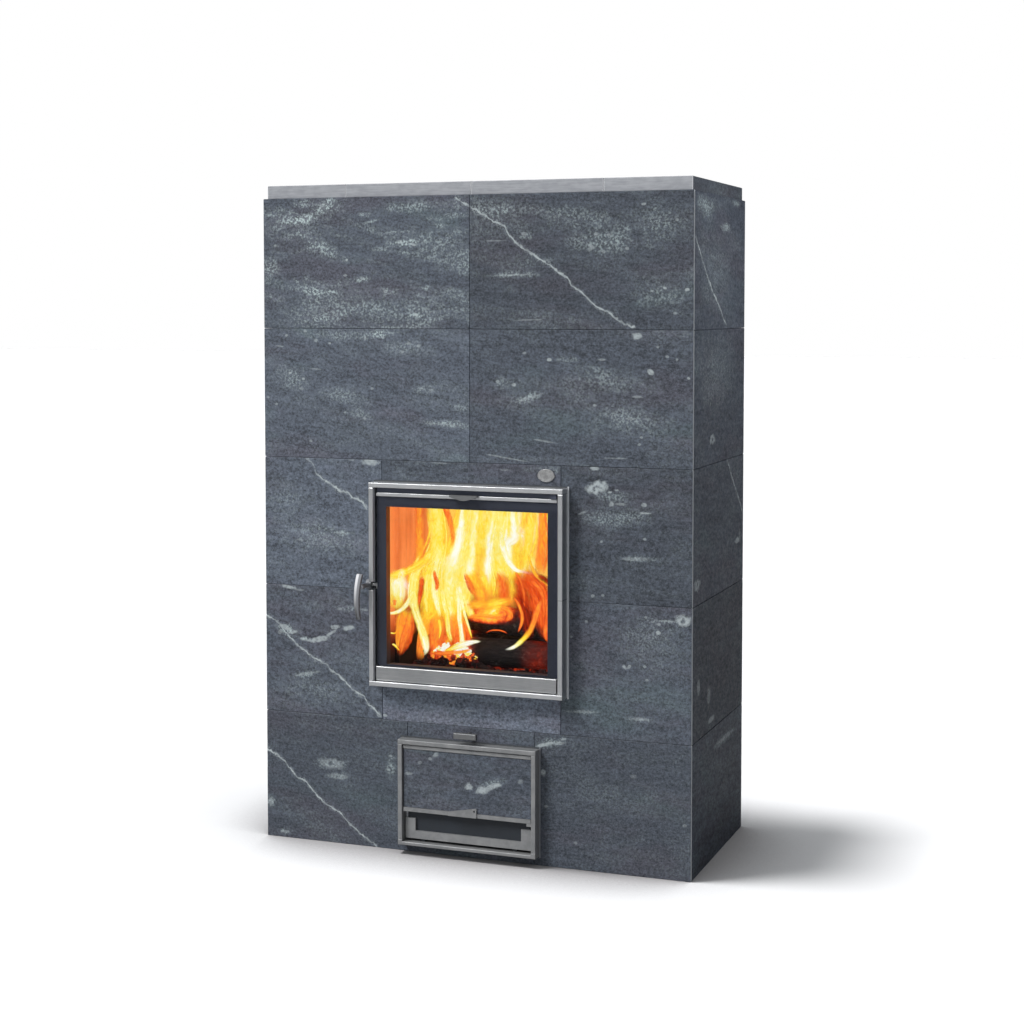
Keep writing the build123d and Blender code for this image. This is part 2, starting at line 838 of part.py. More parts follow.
trim_notch_half = trim_half_width - trim_arm_width
trim_notch_bottom = trim_bottom + trim_base_height
trim_points = [
    (-trim_half_width, trim_bottom),
    (trim_half_width, trim_bottom),
    (trim_half_width, trim_top),
    (trim_notch_half, trim_top),
    (trim_notch_half, trim_notch_bottom),
    (-trim_notch_half, trim_notch_bottom),
    (-trim_notch_half, trim_top),
    (-trim_half_width, trim_top),
]
nodes["ash_drawer_trim"] = front_prism(trim_points, drawer_front_proud, drawer_front_proud + trim_thickness)

# Air control: a bar on a rod that carries a plate behind the lintel
control_bar_back = control_bar_proud - control_bar_depth
control_bar = slab_piece(
    control_bar_width / 2,
    control_bar_back,
    control_bar_proud,
    control_height - control_bar_height / 2,
    control_height + control_bar_height / 2,
)
control_bar = fillet(edges_on_plane(control_bar, Axis.Y, proud_y(control_bar_proud)), control_bar_round)
nodes["air_control_bar"] = control_bar
control_rod_back_y = proud_y(control_bar_back) + control_rod_length
control_rod = rod_y(0, proud_y(control_bar_back), control_rod_back_y, control_height, control_rod_radius)
nodes["air_control_rod"] = control_rod
nodes["air_control_plate"] = block(
    -control_plate_width / 2,
    control_plate_width / 2,
    control_rod_back_y,
    control_rod_back_y + control_plate_thickness,
    control_height - control_plate_height / 2,
    control_height + control_plate_height / 2,
)

# Oval plate, bare, with a bevelled rim
oval_centre_x = door_bay_half - oval_inset
oval_centre_height = frame_top + oval_rise
oval_plane = Plane(origin=(oval_centre_x, front_y, oval_centre_height), x_dir=(1, 0, 0), z_dir=(0, -1, 0))
oval = extrude(oval_plane * Ellipse(oval_width / 2, oval_height / 2), oval_thickness)
nodes["oval_plate"] = chamfer(edges_on_plane(oval, Axis.Y, proud_y(oval_thickness)), oval_bevel)

# Inner core
core_front_y = cavity_front_y + core_gap
core_back_y = cavity_back_y - core_gap
core_side_x = cavity_half_x - core_gap
wall_outer_x = firebox_half_width + core_wall
firebox_back_y = core_front_y + firebox_depth
back_wall_y = firebox_back_y + firebox_back_wall
firebox_floor_height = door_bay_bottom - firebox_floor_drop
floor_low = firebox_floor_height - floor_thickness
throat_height = door_bay_top + throat_rise
throat_top = throat_height + throat_thickness
roof_top = shell_top - roof_fit
roof_low = roof_top - roof_thickness
chamber_wall_height = roof_low - chamber_side_opening
ash_chamber_half_width = ash_bay_half + ash_chamber_side_room
ash_chamber_back_y = drawer_back_y + drawer_back_clearance

nodes["base_slab"] = block(-core_side_x, core_side_x, core_front_y, core_back_y, 0, runner_z)
ash_walls = []
for side in (-1, 1):
    ash_walls.append(
        block(
            side * ash_chamber_half_width,
            side * wall_outer_x,
            core_front_y,
            ash_chamber_back_y + ash_back_wall,
            runner_z,
            floor_low,
        )
    )
ash_walls.append(
    block(
        -ash_chamber_half_width,
        ash_chamber_half_width,
        ash_chamber_back_y,
        ash_chamber_back_y + ash_back_wall,
        runner_z,
        floor_low,
    )
)
nodes["ash_chamber_walls"] = Compound(ash_walls)

grate_y = core_front_y + firebox_depth / 2
grate_half = grate_width / 2
grate_half_depth = grate_depth / 2
floor = block(-wall_outer_x, wall_outer_x, core_front_y, core_back_y, floor_low, firebox_floor_height)
floor = floor - block(
    -grate_half - grate_fit,
    grate_half + grate_fit,
    grate_y - grate_half_depth - grate_fit,
    grate_y + grate_half_depth + grate_fit,
    firebox_floor_height - grate_thickness,
    firebox_floor_height + cut_margin,
)
floor = floor - block(
    -grate_half + grate_ledge,
    grate_half - grate_ledge,
    grate_y - grate_half_depth + grate_ledge,
    grate_y + grate_half_depth - grate_ledge,
    floor_low - cut_margin,
    firebox_floor_height,
)
nodes["firebox_floor"] = floor

grate = block(
    -grate_half,
    grate_half,
    grate_y - grate_half_depth,
    grate_y + grate_half_depth,
    firebox_floor_height - grate_thickness,
    firebox_floor_height,
)
slot_pitch = grate_slot + grate_rib
slot_room = grate_width - 2 * grate_rim + grate_rib
slot_count = int(slot_room / slot_pitch)
first_slot_x = -(slot_count - 1) * slot_pitch / 2
for index in range(slot_count):
    slot_x = first_slot_x + index * slot_pitch
    grate = grate - block(
        slot_x - grate_slot / 2,
        slot_x + grate_slot / 2,
        grate_y - grate_half_depth + grate_rim,
        grate_y + grate_half_depth - grate_rim,
        floor_low,
        firebox_floor_height + cut_margin,
    )
nodes["grate"] = grate

side_walls = []
for side in (-1, 1):
    side_walls.append(
        block(
            side * firebox_half_width,
            side * wall_outer_x,
            core_front_y,
            back_wall_y,
            firebox_floor_height,
            throat_height,
        )
    )
nodes["firebox_side_walls"] = Compound(side_walls)
nodes["firebox_back_wall"] = block(
    -firebox_half_width,
    firebox_half_width,
    firebox_back_y,
    back_wall_y,
    firebox_floor_height,
    throat_height,
)

throat = block(-wall_outer_x, wall_outer_x, core_front_y, back_wall_y, throat_height, throat_top)
throat = throat - block(
    -throat_half_width,
    throat_half_width,
    firebox_back_y - throat_back_inset - throat_depth,
    firebox_back_y - throat_back_inset,
    throat_height - cut_margin,
    throat_top + cut_margin,
)
nodes["throat_slab"] = throat

chamber_front_y = core_front_y + chamber_front_wall
chamber_walls = [
    block(-wall_outer_x, wall_outer_x, core_front_y, chamber_front_y, throat_top, roof_low),
    block(-wall_outer_x, wall_outer_x, firebox_back_y, back_wall_y, throat_top, roof_low),
]
for side in (-1, 1):
    chamber_walls.append(
        block(
            side * firebox_half_width,
            side * wall_outer_x,
            chamber_front_y,
            firebox_back_y,
            throat_top,
            chamber_wall_height,
        )
    )
nodes["upper_chamber_walls"] = Compound(chamber_walls)
nodes["insulation_board"] = block(
    -wall_outer_x,
    wall_outer_x,
    back_wall_y + insulation_clearance,
    core_back_y,
    firebox_floor_height,
    roof_low,
)
nodes["core_roof_slab"] = block(-core_side_x, core_side_x, core_front_y, core_back_y, roof_low, roof_top)

# Flue collar, flush with the back
collar_front_y = back_y - collar_length
collar_outer = rod_y(0, collar_front_y, back_y, collar_height, collar_radius + collar_wall)
collar_bore = rod_y(0, collar_front_y - cut_margin, back_y + cut_margin, collar_height, collar_radius)
nodes["flue_collar"] = collar_outer - collar_bore

# Fire bed: embers on the grate, two logs side by side and a third laid across them
embers = block(
    -ember_width / 2,
    ember_width / 2,
    grate_y - ember_depth / 2,
    grate_y + ember_depth / 2,
    firebox_floor_height,
    firebox_floor_height + ember_height,
)
ember_top = firebox_floor_height + ember_height
nodes["ember_bed"] = chamfer(edges_on_plane(embers, Axis.Z, ember_top), ember_chamfer)
log_base_z = ember_top + log_radius
log_shape = rod_x(-log_length / 2, log_length / 2, 0, 0, log_radius)
logs = []
for side in (-1, 1):
    log_place = Pos(0, grate_y + side * log_spacing / 2, log_base_z)
    logs.append(log_place * Rot(0, 0, side * log_turn) * log_shape)
top_log_z = log_base_z + 2 * log_radius + log_gap
logs.append(Pos(0, grate_y, top_log_z) * Rot(0, 0, top_log_turn) * log_shape)
nodes["logs"] = Compound(logs)

os.makedirs("parts", exist_ok=True)
for name, shape in nodes.items():
    export_step(shape, f"parts/{name}.step")
print(len(nodes), "nodes written")
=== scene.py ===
import functools
import json
import math

import bmesh
import bpy
import numpy as np
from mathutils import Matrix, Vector

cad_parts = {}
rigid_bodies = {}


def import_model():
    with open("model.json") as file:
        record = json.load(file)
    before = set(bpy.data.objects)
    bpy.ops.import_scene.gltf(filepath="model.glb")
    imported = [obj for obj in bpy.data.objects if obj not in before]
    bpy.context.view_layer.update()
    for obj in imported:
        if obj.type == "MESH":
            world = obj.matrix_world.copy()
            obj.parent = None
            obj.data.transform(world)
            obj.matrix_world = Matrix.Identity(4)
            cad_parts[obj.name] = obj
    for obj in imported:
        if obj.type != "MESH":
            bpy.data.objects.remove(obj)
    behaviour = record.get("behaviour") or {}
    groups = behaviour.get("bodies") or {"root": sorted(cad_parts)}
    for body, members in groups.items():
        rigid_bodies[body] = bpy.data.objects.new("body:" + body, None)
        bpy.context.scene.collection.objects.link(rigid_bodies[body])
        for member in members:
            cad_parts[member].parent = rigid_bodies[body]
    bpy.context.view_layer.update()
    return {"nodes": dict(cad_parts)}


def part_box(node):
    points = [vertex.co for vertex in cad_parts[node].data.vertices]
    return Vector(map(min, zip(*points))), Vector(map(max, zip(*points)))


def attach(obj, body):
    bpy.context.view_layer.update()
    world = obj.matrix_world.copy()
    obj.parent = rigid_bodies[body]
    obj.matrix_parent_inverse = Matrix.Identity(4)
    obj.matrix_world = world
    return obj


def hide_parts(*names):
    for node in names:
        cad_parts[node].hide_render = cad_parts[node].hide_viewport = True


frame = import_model()
nodes = frame["nodes"]
print("frame loaded:", len(nodes), "nodes")


# Shader helpers. Each one works in the node tree that its first node or node output belongs to.

def addStep(near, kind):
    return near.id_data.nodes.new(kind)


def put(value, socket):
    # a socket takes another node's output or a plain value
    if isinstance(value, bpy.types.NodeSocket):
        socket.id_data.links.new(value, socket)
    else:
        socket.default_value = value


def firstOutput(*values):
    return next(value for value in values if isinstance(value, bpy.types.NodeSocket))


def calc(operation, *values, clamp=False):
    step = addStep(firstOutput(*values), "ShaderNodeMath")
    step.operation = operation
    step.use_clamp = clamp
    for socket, value in zip(step.inputs, values):
        put(value, socket)
    return step.outputs[0]


def folded(operation):
    # the operation run over any number of values, from left to right
    return lambda *values: functools.reduce(functools.partial(calc, operation), values)


plus = folded("ADD")
minus = folded("SUBTRACT")
times = folded("MULTIPLY")
largest = folded("MAXIMUM")


def scaled(value, by, add):
    return calc("MULTIPLY_ADD", value, by, add)


def absolute(value):
    return calc("ABSOLUTE", value)


def blended(share, first, second, how="MIX"):
    # colour between two colours
    step = addStep(firstOutput(share, first, second), "ShaderNodeMix")
    step.data_type = "RGBA"
    step.blend_type = how
    for index, value in ((0, share), (6, first), (7, second)):
        put(value, step.inputs[index])
    return step.outputs[2]


def spread(value, low, high, outLow=0.0, outHigh=1.0):
    # value stretched softly from low..high to outLow..outHigh
    step = addStep(value, "ShaderNodeMapRange")
    step.interpolation_type = "SMOOTHSTEP"
    for index, given in enumerate((value, low, high, outLow, outHigh)):
        put(given, step.inputs[index])
    return step.outputs[0]


def falling(value, low, high):
    return spread(value, low, high, 1.0, 0.0)


def brighter(tone, by):
    return [share * by for share in tone[:3]] + [1]


def placed(source, move=(0, 0, 0), turn=(0, 0, 0), stretch=(1, 1, 1), kind="POINT"):
    step = addStep(source, "ShaderNodeMapping")
    step.vector_type = kind
    put(source, step.inputs["Vector"])
    step.inputs["Location"].default_value = move
    step.inputs["Rotation"].default_value = [math.radians(a) for a in turn]
    step.inputs["Scale"].default_value = stretch
    return step.outputs[0]


def noise(place, scale, detail=3.0, rough=0.55, warp=0.0):
    step = addStep(place, "ShaderNodeTexNoise")
    put(place, step.inputs["Vector"])
    for label, value in (("Scale", scale), ("Detail", detail), ("Roughness", rough), ("Distortion", warp)):
        step.inputs[label].default_value = value
    return step.outputs[0]


def coloured(value, stops):
    # colour ramp through (place, red, green, blue) stops
    step = addStep(value, "ShaderNodeValToRGB")
    points = step.color_ramp.elements
    points[0].position, points[1].position = stops[0][0], stops[-1][0]
    points[0].color, points[1].color = (*stops[0][1:], 1.0), (*stops[-1][1:], 1.0)
    for place, *tone in stops[1:-1]:
        points.new(place).color = (*tone, 1.0)
    put(value, step.inputs[0])
    return step.outputs[0]


def finish(shader, **values):
    # links or sets sockets of the shader by their names
    for label, value in values.items():
        put(value, shader.inputs[label.replace("_", " ")])


def startMaterial(name, **constants):
    # a material with one shader, its constant sockets set directly, and the object's own coordinates
    material = bpy.data.materials.new(name)
    material.use_nodes = True
    tree = material.node_tree
    tree.nodes.clear()
    shader = tree.nodes.new("ShaderNodeBsdfPrincipled")
    out = tree.nodes.new("ShaderNodeOutputMaterial")
    put(shader.outputs[0], out.inputs["Surface"])
    finish(shader, **constants)
    place = tree.nodes.new("ShaderNodeTexCoord").outputs["Object"]
    return material, shader, place


def bump(shader, height, strength, distance):
    step = addStep(shader, "ShaderNodeBump")
    step.inputs["Strength"].default_value = strength
    step.inputs["Distance"].default_value = distance
    put(height, step.inputs["Height"])
    finish(shader, Normal=step.outputs[0])


def reopened(material):
    # a finished material's shader, the object's coordinates and the colour it has so far
    steps = material.node_tree.nodes
    shader = next(step for step in steps if step.type == "BSDF_PRINCIPLED")
    place = next(step for step in steps if step.type == "TEX_COORD").outputs["Object"]
    return shader, place, shader.inputs["Base Color"].links[0].from_socket


def dress(material, *names):
    # gives CAD nodes a finish in their material slots
    for name in names:
        if not nodes[name].material_slots:
            nodes[name].data.materials.append(material)
        for slot in nodes[name].material_slots:
            slot.material = material


# Soapstone

soapstone = {
    "body": (0.088, 0.101, 0.122, 1),
    "warm": (0.094, 0.094, 0.114, 1),
    "teal": (0.088, 0.117, 0.124, 1),
    "talc": (0.46, 0.55, 0.56, 1),
    "vein": (0.41, 0.46, 0.475, 1),
    # painted highlight for the upright arrises
    "paintedArrisHighlight": (0.6, 0.63, 0.66, 1),
    "frontTint": (0.97, 1.0, 1.06),
    # the side stones' bluer tint is a painted shade colour
    "paintedShadeSideTint": (0.95, 0.99, 1.09),
    # layers of grain: shift, stretch along the bed, then scale, detail, roughness and distortion of the noise
    "layers": {
        "drift": ((0, 0, 0), 0.34, 6.0, 5.0, 0.6, 0.4),
        "tint": ((3.3, 5.1, 7.7), 0.34, 9.0, 4.0, 0.6),
        "fine": ((0, 0, 0), 1.0, 420.0, 2.0, 0.7),
        "grain": ((0.4, 0.2, 0.7), 0.8, 190.0, 3.0, 0.7),
        "medium": ((0, 0, 0), 0.5, 110.0, 4.0, 0.7),
        "long": ((0, 0, 0), 0.1, 70.0, 4.0, 0.65),
        "speck": ((0.9, 0.3, 0.1), 1.0, 215.0, 2.0, 0.6),
        "outline": ((0, 0, 0), 1.0, 30.0, 4.0, 0.65),
        "cloud": ((0, 0, 0), 0.34, 14.0, 4.0, 0.7, 0.5),
        "ragged": ((0, 0, 0), 1.0, 75.0, 3.0, 0.6),
        "jag": ((0, 0, 0), 1.0, 80.0, 4.0, 0.7),
        "swell": ((0, 0, 0), 1.0, 60.0, 3.0, 0.6),
        "thinned": ((0.2, 0.6, 0.5), 1.0, 42.0, 3.0, 0.6),
    },
    # how strongly a layer lightens and darkens the stone
    "shading": {"fine": 1.6, "grain": 2.9, "medium": 1.3, "long": 0.9, "drift": 0.5},
    "darkest": 0.4,
    "lightest": 2.0,
    # half width of a vein, how far it strays, and where its halo of talc starts and ends, in millimetres
    "veinHalf": 1.7,
    "veinJag": 7.0,
    "veinHalo": (1.0, 9.0),
}


def sharesOf(vector):
    step = addStep(vector, "ShaderNodeSeparateXYZ")
    put(vector, step.inputs[0])
    return step.outputs


def worldNormal(near):
    return sharesOf(addStep(near, "ShaderNodeNewGeometry").outputs["True Normal"])


def faceMap(place, side):
    # across and height on a face in millimetres, with across along Y on the side stones
    parts = sharesOf(place)
    step = addStep(place, "ShaderNodeCombineXYZ")
    put(times(parts["Y" if side else "X"], 1000.0), step.inputs["X"])
    put(times(parts["Z"], 1000.0), step.inputs["Z"])
    return step.outputs[0]


def veinMask(face, marks, jag, swell, speck):
    # a crooked line: its height is a curve through the marks, the distance from it is held against a width
    across, up = (np.array(values, float) for values in zip(*marks))
    length, low, rise = across[-1] - across[0], up.min(), up.max() - up.min()
    step = addStep(face, "ShaderNodeFloatCurve")
    curve = step.mapping.curves[0]
    first, *inner, last = zip((across - across[0]) / length, (up - low) / rise)
    curve.points[0].location, curve.points[1].location = first, last
    for point in inner:
        curve.points.new(*point)
    for point in curve.points:
        point.handle_type = "VECTOR"
    step.mapping.update()
    parts = sharesOf(face)
    put(calc("DIVIDE", minus(parts["X"], across[0]), length), step.inputs["Value"])
    height = scaled(step.outputs[0], rise, low)
    steep = math.cos(math.atan2(up[0] - up[-1], length))
    away = absolute(plus(times(minus(parts["Z"], height), steep), jag))
    line = falling(calc("DIVIDE", away, swell), 0.5, 1.5)
    halo = times(spread(away, *soapstone["veinHalo"], 0.42, 0.0), speck)
    middle = absolute(minus(parts["X"], across[0] + length / 2))
    return times(largest(line, halo), falling(middle, length / 2 - 3, length / 2 + 3))


def lumpReach(face, across, height, wide, tall, tilt, ragged):
    # distance from the middle of an upright or tilted oval, 1 at its rim, with a ragged outline
    local = placed(face, (across, 0, height), (0, -tilt, 0), (wide, 1e6, tall), "TEXTURE")
    step = addStep(face, "ShaderNodeVectorMath")
    step.operation = "LENGTH"
    put(local, step.inputs[0])
    return plus(step.outputs["Value"], ragged)


def makeStone(name, seed, tilt=-4.0, toneAndPaintedLight=1.0, flecks=0.16, clouds=(), spots=(), veins=(), side=False):
    material, shader, place = startMaterial(name, Specular_IOR_Level=0.2 if side else 0.35)
    turned = placed(place, (seed * 1.37, seed * 0.71, seed * 2.13), (-tilt if side else 0, tilt, 0))
    layer = {
        label: noise(placed(turned, move, stretch=(flat, flat, 1.0)), *grain)
        for label, (move, flat, *grain) in soapstone["layers"].items()
    }
    tone = blended(spread(layer["tint"], 0.46, 0.66, 0.0, 0.8), soapstone["body"], soapstone["warm"])
    tone = blended(spread(layer["drift"], 0.55, 0.72, 0.0, 0.8), tone, soapstone["teal"])
    shade = 1.0
    for label, strength in soapstone["shading"].items():
        shade = plus(shade, times(minus(layer[label], 0.5), strength))
    # the stone's tone times toneAndPaintedLight, which is partly painted light and shade
    shade = times(calc("MINIMUM", largest(shade, soapstone["darkest"]), soapstone["lightest"]), toneAndPaintedLight)
    gain = addStep(shader, "ShaderNodeCombineColor")
    # the side stones take the painted shade tint
    for socket, share in zip(gain.inputs, soapstone["paintedShadeSideTint" if side else "frontTint"]):
        put(times(shade, share), socket)
    tone = blended(1.0, tone, gain.outputs[0], "MULTIPLY")
    # pale talc: specks with dark gaps between them, brighter inside the clouds
    face = faceMap(place, side)
    speck = spread(layer["speck"], 0.44, 0.66, 0.1, 1.0)
    outline = scaled(layer["outline"], 2.2, -1.1)
    cloudy = spread(layer["cloud"], 0.42, 0.72, 0.0, flecks)
    for *oval, strength in clouds:
        cloudy = plus(cloudy, spread(lumpReach(face, *oval, outline), 0.0, 1.35, 1.35 * strength, 0.0))
    tone = blended(calc("MULTIPLY", cloudy, speck, clamp=True), tone, soapstone["talc"])
    ragged = scaled(layer["ragged"], 1.7, -0.85)
    marked = 0.0
    for row in spots:
        reach = lumpReach(face, *row[:5], ragged)
        mask = spread(reach, 0.6, 1.25, row[5], 0.0)
        if len(row) > 6:
            mask = times(mask, spread(reach, 0.05, 0.5, 0.1, 1.0))
        marked = largest(marked, mask)
    jag = scaled(layer["jag"], 2 * soapstone["veinJag"], -soapstone["veinJag"])
    swell = times(layer["swell"], 2.0 * soapstone["veinHalf"])
    veined = 0.0
    for marks in veins:
        veined = largest(veined, veinMask(face, marks, jag, swell, speck))
    veined = times(veined, spread(layer["thinned"], 0.36, 0.6, 0.4, 1.0))
    marked = times(marked, spread(layer["grain"], 0.35, 0.6, 0.6, 1.0))
    tone = blended(largest(marked, veined), tone, soapstone["vein"])
    # painted highlight: the side stones' upright arrises are made paler
    if side:
        normal = worldNormal(shader)
        corner = times(absolute(normal["X"]), absolute(normal["Y"]))
        tone = blended(spread(corner, 0.2, 0.4), tone, soapstone["paintedArrisHighlight"])
    finish(shader, Base_Color=tone, Roughness=spread(layer["medium"], 0.3, 0.7, 0.66, 0.5))
    bump(shader, scaled(layer["grain"], 0.5, layer["medium"]), 0.3, 0.0006)
    return material
